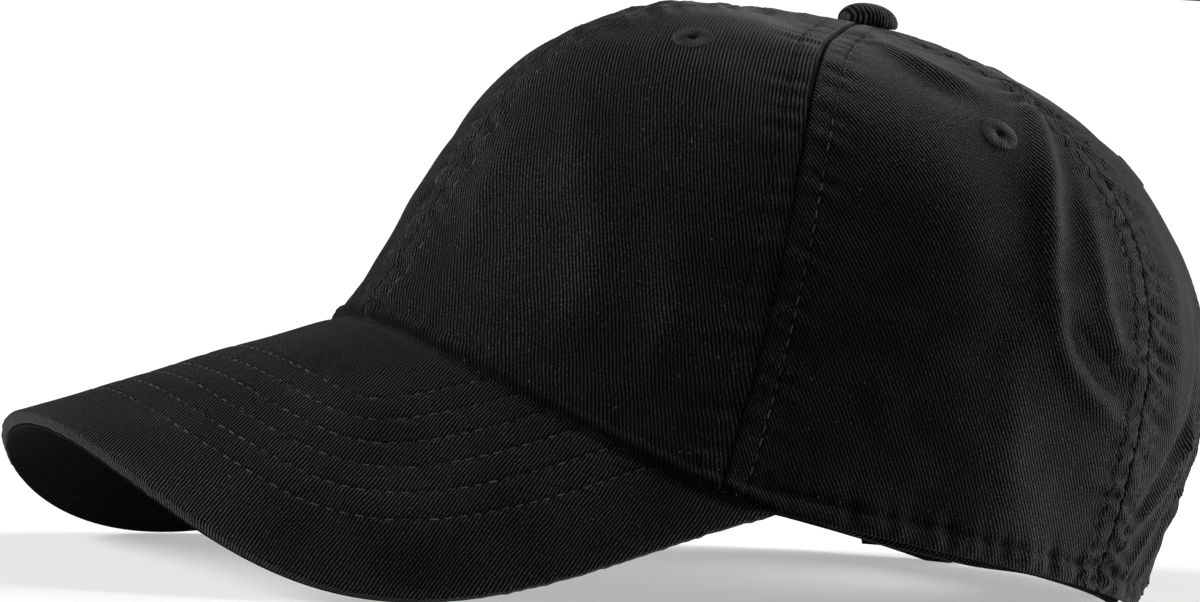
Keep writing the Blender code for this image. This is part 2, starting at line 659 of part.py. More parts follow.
def strap_tab(frame):
    """A short tab from inside the left panel, looped around the buckle's bar."""
    bar_x = BUCKLE_HALF[0] - BUCKLE_BAR / 2
    bar_y = BUCKLE_FRONT - BUCKLE_BAR / 2
    loop = BUCKLE_BAR / 2 * 1.42 + GAP
    turns = np.radians(np.linspace(330.0, 60.0, 12))
    tail_angle = np.linspace(*TAB_ANGLES, 4)
    half_z = STRAP_WIDTH / 2 - 1.0 * MM
    middle_z = STRAP_BOTTOM + STRAP_WIDTH / 2
    inner_r = STRAP_RADIUS + 0.7 * MM
    sheets = []
    for radius, tail_r in ((loop + TAB_THICK, inner_r), (loop, inner_r + TAB_THICK)):
        tail = around_axis(tail_angle, tail_r, middle_z)
        curl = [frame @ Vector((bar_x + radius * math.cos(a), bar_y + radius * math.sin(a), 0.0))
                for a in turns]
        path = np.concatenate((tail, np.array([tuple(p) for p in curl])))
        sheets.append(path)
    outer, inner = (np.stack((p - (0, 0, half_z), p + (0, 0, half_z))) for p in sheets)
    return closed_sheet("strap_tab", outer, inner, material("strap_tab", COTTON))


def clear_scene():
    for old in list(bpy.data.objects):
        bpy.data.objects.remove(old, do_unlink=True)


clear_scene()
crown_panels()
seam_tapes()
opening_binding()
sweatband()
care_label()
visor()
button()
strap()
buckle()
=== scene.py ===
# Washed cotton baseball cap: fabric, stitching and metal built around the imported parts.
import json
import math

import bpy
import numpy as np
from mathutils import Matrix, Vector


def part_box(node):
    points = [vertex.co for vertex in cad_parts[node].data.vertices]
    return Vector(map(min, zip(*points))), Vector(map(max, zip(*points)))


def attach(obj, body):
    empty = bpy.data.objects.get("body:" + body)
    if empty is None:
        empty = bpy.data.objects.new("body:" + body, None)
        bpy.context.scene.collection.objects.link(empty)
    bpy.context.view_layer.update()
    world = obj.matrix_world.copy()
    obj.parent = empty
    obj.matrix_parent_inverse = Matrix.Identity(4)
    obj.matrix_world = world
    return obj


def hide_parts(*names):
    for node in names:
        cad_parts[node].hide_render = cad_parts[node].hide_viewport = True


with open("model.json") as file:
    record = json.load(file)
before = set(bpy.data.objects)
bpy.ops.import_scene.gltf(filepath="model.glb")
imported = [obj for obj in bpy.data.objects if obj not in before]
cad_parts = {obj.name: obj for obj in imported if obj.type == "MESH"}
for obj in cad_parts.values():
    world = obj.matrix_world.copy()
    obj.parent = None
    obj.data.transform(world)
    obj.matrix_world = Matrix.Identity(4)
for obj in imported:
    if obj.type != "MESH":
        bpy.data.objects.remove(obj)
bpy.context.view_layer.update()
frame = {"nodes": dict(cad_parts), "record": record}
mm = 0.001
pi = math.pi
joints = {joint["name"]: joint for joint in frame["record"]["behaviour"]["joints"]}
buttonAxis = Vector(joints["strap_adjust"]["pos_m"])        # the strap slides around this axis
print("frame loaded")


def hexColour(text):
    parts = [int(text[i:i + 2], 16) / 255 for i in (1, 3, 5)]
    linear = [c / 12.92 if c <= 0.04045 else ((c + 0.055) / 1.055) ** 2.4 for c in parts]
    return (*linear, 1.0)


def fill(tree, node, inputs):
    for key, value in inputs.items():
        if isinstance(value, bpy.types.NodeSocket):
            tree.links.new(value, node.inputs[key])
        else:
            node.inputs[key].default_value = value


def addNode(tree, kind, settings, inputs):
    node = tree.nodes.new(kind)
    for key, value in settings.items():
        setattr(node, key, value)
    fill(tree, node, inputs)
    return node


def newFinish(name):
    made = bpy.data.materials.new(name)
    made.use_nodes = True
    return made, made.node_tree, made.node_tree.nodes["Principled BSDF"]


def grainOf(tree):
    return addNode(tree, "ShaderNodeUVMap", {"uv_map": "grain"}, {}).outputs["UV"]


def wearAndShadeOf(tree):
    return addNode(tree, "ShaderNodeAttribute", {"attribute_name": "wearAndShade"}, {}).outputs["Fac"]


def spotOf(tree):
    return addNode(tree, "ShaderNodeTexCoord", {}, {}).outputs["Object"]


def noise(tree, spot, scale, detail, roughness=0.5, dimensions="3D"):
    return addNode(tree, "ShaderNodeTexNoise", {"noise_dimensions": dimensions},
                   {"Vector": spot, "Scale": scale, "Detail": detail, "Roughness": roughness})


def calc(tree, operation, *values, clamp=False):
    settings = {"operation": operation, "use_clamp": clamp}
    return addNode(tree, "ShaderNodeMath", settings, dict(enumerate(values))).outputs[0]


def remap(tree, value, low, high, start=0.0, end=1.0, curve="LINEAR"):
    node = addNode(tree, "ShaderNodeMapRange", {"interpolation_type": curve},
                   {"Value": value, "From Min": low, "From Max": high, "To Min": start, "To Max": end})
    return node.outputs[0]


def blend(tree, share, low, high):
    return addNode(tree, "ShaderNodeMix", {"data_type": "RGBA"}, {0: share, 6: low, 7: high}).outputs[2]


def relief(tree, height, strength, distance):
    inputs = {"Height": height, "Strength": strength, "Distance": distance}
    return addNode(tree, "ShaderNodeBump", {}, inputs).outputs["Normal"]


def smoothStep(value, low, high):
    share = np.clip((value - low) / (high - low), 0.0, 1.0)
    return share * share * (3 - 2 * share)


def bell(value, width):
    return np.exp(-(value / width) ** 2)


def unit(vectors):
    return vectors / np.maximum(np.linalg.norm(vectors, axis=-1, keepdims=True), 1e-12)


def wander(place, seed, shortest, longest, count=5):
    # an uneven wave of about unit height along a line
    draw = np.random.default_rng(seed)
    total = 0.0
    for k in range(count):
        size = shortest * (longest / shortest) ** (k / (count - 1)) * draw.uniform(0.85, 1.15)
        total = total + np.sin(2 * pi * place / size + draw.uniform(0, 2 * pi))
    return total / math.sqrt(count)


def billow(points, seed, size, count=7):
    # soft uneven swells through space, of about unit height
    draw = np.random.default_rng(seed)
    total = 0.0
    for _ in range(count):
        way = draw.normal(size=3)
        way *= draw.uniform(0.7, 1.4) / np.linalg.norm(way)
        total = total + np.sin(points @ way * (2 * pi / size) + draw.uniform(0, 2 * pi))
    return total / math.sqrt(count)


def meshFrom(name, points, quads, finish, grain=None, wearAndShade=None):
    mesh = bpy.data.meshes.new(name)
    mesh.vertices.add(len(points))
    mesh.vertices.foreach_set("co", np.asarray(points, np.float32).ravel())
    quads = np.asarray(quads, np.int32)
    mesh.loops.add(quads.size)
    mesh.loops.foreach_set("vertex_index", quads.ravel())
    mesh.polygons.add(len(quads))
    mesh.polygons.foreach_set("loop_start", np.arange(0, quads.size, 4, dtype=np.int32))
    mesh.update(calc_edges=True)
    mesh.shade_smooth()
    if grain is not None:
        layer = mesh.uv_layers.new(name="grain")
        layer.uv.foreach_set("vector", np.asarray(grain, np.float32)[quads.ravel()].ravel())
    if wearAndShade is not None:
        mesh.attributes.new("wearAndShade", "FLOAT", "POINT").data.foreach_set(
            "value", np.asarray(wearAndShade, np.float32).ravel())
    mesh.materials.append(finish)
    piece = bpy.data.objects.new(name, mesh)
    bpy.context.scene.collection.objects.link(piece)
    return piece


def sheet(name, outer, inner, finish, grain, wearAndShade, bulge, rim=4):
    # a thin solid between two grids; bulge rounds its edges: first row, last column, last row, first column
    rows, columns = outer.shape[:2]
    index = np.arange(rows * columns).reshape(rows, columns)
    steps = ([(0, c, 0) for c in range(columns - 1)] + [(r, columns - 1, 1) for r in range(rows - 1)]
             + [(rows - 1, c, 2) for c in range(columns - 1, 0, -1)]
             + [(r, 0, 3) for r in range(rows - 1, 0, -1)])
    at = np.array([(r, c) for r, c, _ in steps]).T
    side = np.array([s for _, _, s in steps])
    edge = (at[0], at[1])
    behind = (np.clip(at[0], 1, rows - 2), np.clip(at[1], 1, columns - 2))
    top, low = outer[edge], inner[edge]
    away = unit(top + low - outer[behind] - inner[behind])
    middle, half = (top + low) / 2, (top - low) / 2
    reach = np.linalg.norm(half, axis=1, keepdims=True) * np.array(bulge)[side][:, None]
    grainAway = unit(grain[edge] - grain[behind])
    points = [outer.reshape(-1, 3), inner.reshape(-1, 3)]
    grains = [grain.reshape(-1, 2)] * 2
    wearAndShadeLists = [wearAndShade.ravel(), wearAndShade.ravel() * 0]
    loops = [index[edge]]
    for k in range(1, rim):
        turn = pi * k / rim
        points.append(middle + math.cos(turn) * half + math.sin(turn) * reach * away)
        grains.append(grain[edge] + grainAway * min(turn, pi - turn) * 0.5)
        wearAndShadeLists.append(wearAndShade[edge])
        loops.append(2 * rows * columns + (k - 1) * len(side) + np.arange(len(side)))
    loops.append(index[edge] + rows * columns)
    face = np.stack((index[:-1, :-1], index[:-1, 1:], index[1:, 1:], index[1:, :-1]), -1).reshape(-1, 4)
    quads = [face, face[:, ::-1] + rows * columns]
    for here, there in zip(loops, loops[1:]):
        quads.append(np.stack((np.roll(here, -1), here, there, np.roll(there, -1)), -1))
    quads = np.concatenate(quads)
    r, c = rows // 2, columns // 2
    facing = np.cross(outer[r, c + 1] - outer[r, c], outer[r + 1, c] - outer[r, c])
    if facing @ (outer[r, c] - inner[r, c]) < 0:
        quads = quads[:, ::-1]
    # each quad starts where its shorter diagonal does, so a narrow sheared one stays on the surface
    points = np.concatenate(points)
    corners = points[quads]
    diagonals = [np.linalg.norm(corners[:, k + 2 & 3] - corners[:, k], axis=1) for k in (0, 1)]
    quads = np.where((diagonals[0] > 1.001 * diagonals[1])[:, None], np.roll(quads, -1, axis=1), quads)
    return meshFrom(name, points, quads, finish, np.concatenate(grains), np.concatenate(wearAndShadeLists))


def place(piece, body, slot, *nodes):
    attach(piece, body)
    if nodes:
        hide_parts(*nodes)
    return piece


crownShape = {
    "hemHalfWidth": max(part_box("crown_panel_side_left")[1].x, 82.0 * mm),
    "hemHalfLength": 99.0 * mm,
    "hemCentre": buttonAxis.y - 28.0 * mm,
    "squareness": 2.25,
    "restAngle": 143.0,           # behind this angle the hem lies on the ground
    "hemCurve": 0.96,
    "height": 133.0 * mm,
    "wallLean": (0.94, -0.32, 0.08),
    "wallRise": (0.55, 0.20),
    "shoulder": (1.00, -0.295, 0.03),
    "shoulderLift": (-2.7 * mm, 15.2 * mm, 0.2 * mm),
    "frontSeam": 66.0, "frontBow": 5.4,
    "rearSeam": 127.5, "rearBow": 6.3,
    "thick": 0.95 * mm,
    "seamGap": 0.24 * mm,
    "topT": 0.988,
    "archHalf": 29.0, "archHeight": 50.0 * mm, "archRadius": 76.0 * mm,
}
visorShape = {
    "radius": 85.5 * mm, "slope": math.radians(17.0), "topZ": 58.8 * mm,
    "corner": math.radians(74.5), "length": 82.5 * mm,
    "sidePull": (-5.0 * mm, 50.0 * mm), "frontPull": 128.0 * mm, "tip": 0.02,
    "tuck": 1.4 * mm,              # how far its inner edge is caught under the crown's hem
}


def waves(weights, angle):
    return sum(weight * np.cos(k * angle) for k, weight in enumerate(weights))


def hemPlan(angle):
    power = crownShape["squareness"]
    side, front = np.sin(angle), np.cos(angle)
    reach = (np.abs(side) ** power + np.abs(front) ** power) ** (-1.0 / power)
    return (crownShape["hemHalfWidth"] * side * reach,
            crownShape["hemCentre"] - crownShape["hemHalfLength"] * front * reach)


def visorLay(x, y):
    radius, slope = visorShape["radius"], visorShape["slope"]
    drop = radius - np.sqrt(radius ** 2 - x ** 2)
    start = crownShape["hemCentre"] - crownShape["hemHalfLength"]
    along = (start + math.sin(slope) * drop - y) / math.cos(slope)
    return visorShape["topZ"] - along * math.sin(slope) - drop * math.cos(slope), along


def hemHeight(angle):
    turn, corner = np.abs(angle), visorShape["corner"]
    level = visorLay(*hemPlan(np.minimum(turn, corner)))[0]
    back = np.clip((turn - corner) / (math.radians(crownShape["restAngle"]) - corner), 0.0, 1.0)
    return level * (1.0 - back) ** crownShape["hemCurve"]


def crownSkin(angle, t):
    angle, t = np.broadcast_arrays(np.asarray(angle, float), np.asarray(t, float))
    angle = (angle + pi) % (2 * pi) - pi
    x, y = hemPlan(angle)
    z = hemHeight(angle)
    top, middle = crownShape["height"], buttonAxis.y
    start, low, high, end = (1 - t) ** 3, 3 * t * (1 - t) ** 2, 3 * t * t * (1 - t), t ** 3
    reach = start + low * waves(crownShape["wallLean"], angle) + high * waves(crownShape["shoulder"], angle)
    height = start * z + low * (z + waves(crownShape["wallRise"], angle) * (top - z)) + end * top
    height = height + high * (top + waves(crownShape["shoulderLift"], angle))
    return np.stack((reach * x, middle + reach * (y - middle), height), axis=-1)


def crownNormal(angle, t):
    step = 1e-4
    around = crownSkin(angle + step, t) - crownSkin(angle - step, t)
    upward = crownSkin(angle, t + step) - crownSkin(angle, t - step)
    return unit(np.cross(around, upward))


def metresPerRadian(angle, t):
    step = 1e-3
    return np.linalg.norm(crownSkin(angle + step, t) - crownSkin(angle - step, t), axis=-1) / (2 * step)


# lengths up the crown, kept as tables that both ways are read from
tableAngles = np.linspace(-pi, pi, 721)[:, None]
tableT = np.linspace(0.0, 1.0, 401)[None]
tableSkin = crownSkin(tableAngles, tableT)
tableLength = np.concatenate((np.zeros((721, 1)), np.cumsum(
    np.linalg.norm(np.diff(tableSkin, axis=1), axis=-1), axis=1)), axis=1)
lengthSpan = 0.24
lengthSamples = np.linspace(0.0, lengthSpan, 481)
tableHeight = np.array([np.interp(lengthSamples, row, tableT[0]) for row in tableLength])


def lookUp(table, angle, along, span):
    angle, along = np.broadcast_arrays(angle, along)
    turn = ((angle + pi) % (2 * pi)) / (2 * pi) * (table.shape[0] - 1)
    up = np.clip(along / span, 0.0, 1.0) * (table.shape[1] - 1)
    i = np.minimum(turn.astype(int), table.shape[0] - 2)
    j = np.minimum(up.astype(int), table.shape[1] - 2)
    a, b = turn - i, up - j
    return ((1 - a) * (1 - b) * table[i, j] + a * (1 - b) * table[i + 1, j]
            + (1 - a) * b * table[i, j + 1] + a * b * table[i + 1, j + 1])


def tAtLength(angle, length):
    return lookUp(tableHeight, angle, length, lengthSpan)


def lengthAt(angle, t):
    return lookUp(tableLength, angle, t, 1.0)


def seamAngle(seam, t):
    bow = {crownShape["frontSeam"]: crownShape["frontBow"],
           crownShape["rearSeam"]: crownShape["rearBow"]}.get(abs(seam), 0.0)
    return np.radians(seam + math.copysign(bow, seam) * np.sin(pi * t))


def archFoot(angle):
    across = np.clip((pi - np.abs(angle)) / math.radians(crownShape["archHalf"]), 0.0, 1.0)
    return crownShape["archHeight"] * np.sqrt(1.0 - across ** 2)


seams = (0.0, crownShape["frontSeam"], crownShape["rearSeam"], 180.0,
         -crownShape["rearSeam"], -crownShape["frontSeam"])


clothRelief = {
    "ditch": 0.85 * mm, "ditchWidth": 0.5 * mm,
    "allowance": 0.30 * mm, "allowanceReach": 7.4 * mm,       # folded allowance under each side of a seam
    "rowAt": 5.9 * mm, "rowDip": 0.34 * mm, "rowWidth": 0.8 * mm,
    "pucker": 0.34 * mm, "puckerReach": 6.5 * mm, "puckerSizes": (4.6 * mm, 13.0 * mm),
    "tuckIn": 1.3 * mm, "hemRowDip": 0.55 * mm,
    "hemRowAt": 5.2 * mm, "hemRoll": 0.35 * mm, "hemPucker": 0.42 * mm, "hemPuckerReach": 5.0 * mm,
    "archRows": (2.4 * mm, 7.0 * mm),
    # per seam, from the front centre around to the left: ditch, firmness, knots
    "seamDitch": (0.2, 0.9, 0.35, 0.6, 0.35, 0.9),
    "seamFirm": (0.5, 1.0, 1.25, 1.0, 1.25, 1.0),
    "seamKnots": (1.1, 0.7, 2.0, 1.2, 2.0, 0.7),
    "rope": 0.28 * mm, "ropeSizes": (2.4 * mm, 5.0 * mm),     # small knots along a rear seam's rows
    "paintedSideShade": 0.80,                                          # painted shade over the low middle of the side panels
    "topFade": (0.86, 0.97),                                  # the relief dies away under the button
    "archPucker": 0.7, "archPuckerSizes": (5.5 * mm, 13.0 * mm), "archPuckerReach": 6.0 * mm,
    "hemSizes": (4.5 * mm, 15.0 * mm), "hemRadius": 80.0 * mm,
    "swell": 0.55 * mm, "swellSize": 46.0 * mm,
    "ripple": 0.16 * mm, "rippleSize": 17.0 * mm,
}
# soft folds: the line that each follows (angle from the front, share of the height), lift and half width
folds = (
    (((84, 0.90), (94, 0.85), (102, 0.805), (108, 0.775), (113, 0.755)), 1.7 * mm, 3.4 * mm),
    (((92, 0.80), (101, 0.75), (108, 0.71)), -0.8 * mm, 4.5 * mm),
    (((127, 0.80), (124.5, 0.745), (121, 0.67), (117, 0.56), (115, 0.42), (116, 0.34)), 2.3 * mm, 3.4 * mm),
    (((115.5, 0.37), (117.5, 0.30), (122, 0.265), (129, 0.235)), 1.5 * mm, 3.2 * mm),
    (((117.5, 0.36), (120, 0.335), (124, 0.30), (127, 0.28)), -1.7 * mm, 3.6 * mm),
    (((125, 0.56), (124.2, 0.47), (124.5, 0.40), (126.5, 0.345), (130.5, 0.32), (136, 0.305)),
     1.1 * mm, 2.8 * mm),
    (((125.5, 0.68), (121.5, 0.56), (120.0, 0.46)), -1.2 * mm, 3.8 * mm),
    (((110, 0.62), (110, 0.50), (108, 0.36), (104, 0.20)), -1.2 * mm, 8.0 * mm),
    (((108, 0.30), (109, 0.18), (108, 0.07)), 0.7 * mm, 5.0 * mm),
    (((156, 0.50), (154.5, 0.40), (149, 0.28), (141, 0.165), (135, 0.11), (131, 0.04)), 1.4 * mm, 1.7 * mm),
    (((158, 0.34), (152, 0.22), (145, 0.115), (140.5, 0.02)), 1.4 * mm, 1.6 * mm),
    (((147, 0.30), (146, 0.19), (139, 0.10), (135.5, 0.02)), 1.2 * mm, 1.5 * mm),
    (((150, 0.42), (146, 0.28), (137, 0.15), (133, 0.08)), -1.0 * mm, 1.8 * mm),
    (((141, 0.66), (143, 0.50), (140.5, 0.34), (141, 0.20)), 0.8 * mm, 4.6 * mm),
    (((152, 0.56), (155, 0.46), (153, 0.38)), 0.9 * mm, 4.2 * mm),
    (((20, 0.50), (28, 0.36), (40, 0.24), (41, 0.15), (40, 0.08)), 1.2 * mm, 5.5 * mm),
    (((13, 0.32), (15, 0.20), (17, 0.08)), 1.0 * mm, 5.0 * mm),
    (((-4, 0.24), (-9, 0.13), (-15, 0.04)), -0.8 * mm, 3.6 * mm),
    (((52, 0.30), (55, 0.18), (53, 0.08)), 0.9 * mm, 4.0 * mm),
    (((88, 0.20), (90, 0.13), (96, 0.09)), 0.6 * mm, 4.2 * mm),
    (((-20, 0.50), (-29, 0.34), (-38, 0.22), (-40, 0.09)), 0.8 * mm, 7.5 * mm),
    (((-95, 0.82), (-106, 0.79), (-117, 0.76)), 1.0 * mm, 4.4 * mm),
    (((-128, 0.78), (-122, 0.66), (-118, 0.54), (-117, 0.40)), 1.2 * mm, 4.6 * mm),
    (((-125.5, 0.46), (-122.8, 0.38), (-125.5, 0.30)), 0.8 * mm, 2.6 * mm),
    (((-142, 0.62), (-145, 0.46), (-142, 0.30)), 0.9 * mm, 4.8 * mm),
    (((-60, 0.34), (-55, 0.20), (-57, 0.09)), 0.6 * mm, 5.0 * mm),
)


def foldLift(points):
    total = np.zeros(points.shape[:-1])
    for line, lift, width in folds:
        line = np.array(line, float)
        share = np.linspace(0.0, 1.0, 44)
        knots = np.linspace(0.0, 1.0, len(line))
        turn, height = (np.interp(share, knots, line[:, k]) for k in (0, 1))
        path = crownSkin(np.radians(turn), height)
        low, high = path.min(0) - 3 * width, path.max(0) + 3 * width
        near = np.all((points > low) & (points < high), axis=-1)
        if not near.any():
            continue
        gaps = np.linalg.norm(points[near][:, None] - path[None], axis=-1)
        best = gaps.argmin(axis=1)
        taper = np.sin(pi * (0.06 + 0.88 * share[best])) ** 0.8
        total[near] += lift * taper * bell(gaps.min(axis=1), width)
    return total


def nearestSeam(angle, t):
    scale = metresPerRadian(angle, t)
    best, which = np.full(np.broadcast(angle, t).shape, 1.0), np.zeros(np.broadcast(angle, t).shape, int)
    for k, seam in enumerate(seams):
        away = ((angle - seamAngle(seam, t) + pi) % (2 * pi) - pi) * scale
        closer = np.abs(away) < np.abs(best)
        best, which = np.where(closer, away, best), np.where(closer, k, which)
    return best, which


def archDistance(angle, length):
    # how far outside the rear opening's edge a point lies
    half = math.radians(crownShape["archHalf"])
    wide = half * crownShape["archRadius"]
    u, v = (pi - np.abs(angle)) / half * wide, length
    high = crownShape["archHeight"]
    ring = np.sqrt((u / wide) ** 2 + (v / high) ** 2) + 1e-6
    slope = np.sqrt((u / wide ** 2) ** 2 + (v / high ** 2) ** 2) / ring
    return (ring - 1.0) / np.maximum(slope, 1e-6)


def clothLie(angle, t):
    # how far the cloth stands off the plain skin, and how worn its surface is, with painted shade and painted
    # highlights on its relief
    r = clothRelief
    away, which = nearestSeam(angle, t)
    length = lengthAt(angle, t)
    gap = np.abs(away)
    points = crownSkin(angle, t)
    fade = smoothStep(length, 0.0, 6 * mm)
    firm, knotty, ditch = (np.array(r[key])[which] for key in ("seamFirm", "seamKnots", "seamDitch"))
    lift = -r["ditch"] * bell(gap, r["ditchWidth"]) * ditch
    lift = lift + firm * r["allowance"] * (1 - smoothStep(gap, r["rowAt"], r["allowanceReach"] + 0.8 * mm))
    lift = lift - firm * r["rowDip"] * bell(gap - r["rowAt"], r["rowWidth"])
    pucker = np.zeros(length.shape)
    for k in range(len(seams)):
        for sign in (-1, 1):
            here = (which == k) & (np.sign(away) == sign)
            wave = wander(length + 0.25 * gap, 20 + 3 * k + sign, *r["puckerSizes"])
            pucker = np.where(here, wave, pucker)
    pull = bell(gap - r["rowAt"] * 0.8, r["puckerReach"]) * smoothStep(gap, 0.3 * mm, 2.0 * mm)
    top = 1 - smoothStep(t, *r["topFade"])
    knotty = 1 + (knotty - 1) * top
    lift = lift + knotty * r["pucker"] * pucker * pull * (0.35 + 0.65 * top)
    roped = np.clip(knotty - 1.1, 0, 1) * top
    rope = wander(length * 1.05 - 0.5 * away, 61, *r["ropeSizes"])
    lift = lift + r["rope"] * roped * rope * (bell(gap, 1.3 * mm) + bell(gap - r["rowAt"], 1.7 * mm))
    turn, around = np.abs(angle), angle * r["hemRadius"]
    rear = smoothStep(turn, 1.2, 2.0)
    hemWave = wander(around, 71, *r["hemSizes"]) * (0.4 + 0.8 * rear)
    arch = archDistance(angle, length)
    inArch = np.abs(turn - pi) < math.radians(crownShape["archHalf"] * 1.7)
    edge = np.where(inArch, np.minimum(np.maximum(arch, 0.0), length), length)
    hemPull = bell(edge - 3.0 * mm, r["hemPuckerReach"])
    lift = lift + r["hemPucker"] * hemWave * hemPull * smoothStep(edge, 0, 2.5 * mm)
    # over the visor the hem is turned in; behind it the hem is rolled
    overVisor = 1 - smoothStep(turn, visorShape["corner"] - 0.12, visorShape["corner"] + 0.02)
    lift = lift + r["hemRoll"] * bell(edge - 2.4 * mm, 2.0 * mm)
    lift = lift - r["tuckIn"] * bell(length, 1.2 * mm) * overVisor
    hemRow = bell(length - r["hemRowAt"], 0.9 * mm) * np.where(inArch, arch > 3 * mm, True)
    lift = lift - r["hemRowDip"] * hemRow
    for row in r["archRows"]:
        lift = lift - 0.8 * r["rowDip"] * bell(arch - row, 0.8 * mm) * inArch
    archWave = wander(length * 0.6 + around * 0.8, 83, *r["archPuckerSizes"])
    archPull = bell(arch - 5 * mm, r["archPuckerReach"]) * inArch
    lift = lift + r["hemPucker"] * r["archPucker"] * archWave * archPull
    lift = lift + r["swell"] * billow(points, 5, r["swellSize"]) * fade * top
    lift = lift + r["ripple"] * billow(points, 9, r["rippleSize"]) * fade * top
    lift = lift + foldLift(points) * fade
    # wear and shade: paler where rubbed on the raised knots, puckers and edges; painted shade in the hollows
    # between them and in the ditches
    wearAndShade = 0.5 * bell(gap - 3.0 * mm, 2.6 * mm) * np.clip(pucker, -0.8, 1) * (0.3 + 0.7 * roped)
    # painted highlight along the front centre seam, following its puckers
    frontSeamHighlight = bell(gap, 6 * mm) * (0.5 + 0.5 * np.clip(pucker, -1, 1))
    wearAndShade = wearAndShade + np.where(which == 0, 0.9, 0.0) * frontSeamHighlight
    wearAndShade = wearAndShade + roped * 0.8 * np.clip(rope, -1, 1.2) * bell(gap, 7 * mm)
    # the rolled rear hem edge is rubbed paler; along the front the hem edge gets painted shade
    wearAndShade = wearAndShade + (1.7 * rear - 0.5) * bell(edge, 2.2 * mm)
    wearAndShade = wearAndShade + 0.8 * rear * np.clip(hemWave, -1, 1) * bell(edge, 6 * mm)
    # painted shade in the seam ditches
    wearAndShade = wearAndShade - 0.9 * bell(gap, 0.9 * mm) * ditch
    # painted shade in the hem row's groove behind the visor
    wearAndShade = wearAndShade - 0.7 * bell(length - r["hemRowAt"], 0.8 * mm) * (1 - overVisor)
    # painted shadow along the hem where it tucks in over the visor
    wearAndShade = wearAndShade - 1.5 * bell(length, 2.5 * mm) * overVisor
    # painted shade over the low middle of the side panels, where the lights fall off; the front and the rear
    # are left paler
    sideShadeMask = smoothStep(turn, 0.85, 1.35) * (1 - smoothStep(turn, 1.78, 1.93))
    wearAndShade = wearAndShade - r["paintedSideShade"] * sideShadeMask * (1 - 0.55 * smoothStep(t, 0.34, 0.66))
    # darker low on the front panels just above the visor
    aboveVisor = (1 - smoothStep(length, 6 * mm, 34 * mm)) * (1 - smoothStep(turn, 0.9, 1.2))
    wearAndShade = wearAndShade - 0.30 * aboveVisor
    # raised cloth paler and hollows darker: partly rubbed wear, partly painted light and shade on the folds
    wearAndShade = wearAndShade + np.clip(lift / (1.2 * mm), -0.6, 0.9) * 0.4
    return lift, wearAndShade


def crownPoint(angle, t):
    lift, _ = clothLie(angle, t)
    return crownSkin(angle, t) + lift[..., None] * crownNormal(angle, t)


print("crown surface ready")


def twill(name, finish):
    # Cotton twill, piece dyed black and garment washed: broken diagonal ribs with paler crowns,
    # black valleys, a dusty bloom at grazing angles and cloudy fading beside the stitching; the per-point
    # attribute also darkens and lightens the ribs with painted shade and painted highlights.
    made, tree, shader = newFinish(name)
    grain = grainOf(tree)
    waver = noise(tree, grain, 0.09, 2.0, dimensions="2D")
    shift = addNode(tree, "ShaderNodeVectorMath", {"operation": "SCALE"},
                    {0: waver.outputs["Color"], "Scale": finish["waver"]})
    bent = addNode(tree, "ShaderNodeVectorMath", {"operation": "ADD"}, {0: grain, 1: shift.outputs["Vector"]})
    turned = addNode(tree, "ShaderNodeMapping", {},
                     {"Vector": bent.outputs["Vector"],
                      "Rotation": (0.0, 0.0, -math.radians(finish["ribAngle"])),
                      "Scale": (1.0 / finish["pitch"],) * 3}).outputs["Vector"]
    acrossRibs = addNode(tree, "ShaderNodeSeparateXYZ", {}, {0: turned}).outputs["Y"]
    wave = calc(tree, "COSINE", calc(tree, "MULTIPLY", acrossRibs, 2 * pi))
    crest = remap(tree, wave, 0.9, -1.0, curve="SMOOTHSTEP")
    floats = addNode(tree, "ShaderNodeTexBrick", {"offset": 0.5, "offset_frequency": 2},
                     {"Vector": turned, "Scale": 1.0, "Mortar Size": 0.10, "Mortar Smooth": 1.0,
                      "Brick Width": finish["floatLength"], "Row Height": 1.0})
    segments = remap(tree, floats.outputs["Fac"], 0.0, 1.0, 1.0, 0.45)
    fibre = noise(tree, turned, 1.7, 4.0, 0.65, "2D")
    uneven = remap(tree, fibre.outputs["Fac"], 0.32, 0.68, 0.15, 1.0)
    height = calc(tree, "MULTIPLY", calc(tree, "MULTIPLY", crest, segments), uneven)
    cloud = noise(tree, spotOf(tree), 42.0, 3.0, 0.6)
    mottle = remap(tree, cloud.outputs["Fac"], 0.3, 0.7, 0.78, 1.22)
    # fade: rubbed wear plus painted shade and painted highlights from the cloth's per-point attribute, times
    # the cloudy mottle
    fade = calc(tree, "MULTIPLY_ADD", wearAndShadeOf(tree), finish["wearAndShadeGain"], mottle)
    rubbed = calc(tree, "POWER", height, 1.6)
    half = calc(tree, "MULTIPLY", calc(tree, "MULTIPLY", rubbed, fade), 0.5, clamp=True)
    tone = blend(tree, half, hexColour(finish["valley"]), hexColour(finish["rib"]))
    speck = noise(tree, grain, 1.1, 1.0, dimensions="2D")
    lint = remap(tree, speck.outputs["Fac"], 0.80, 0.86, 0.0, 0.5)
    fill(tree, shader, {
        "Base Color": blend(tree, lint, tone, hexColour(finish["lint"])),
        "Normal": relief(tree, height, finish["bump"], 0.30 * mm),
        "Roughness": 0.86, "IOR": 1.5, "Specular IOR Level": finish["specular"],
        "Sheen Weight": finish["sheen"], "Sheen Roughness": 0.30,
        "Sheen Tint": hexColour(finish["bloomTint"]),
    })
    return made


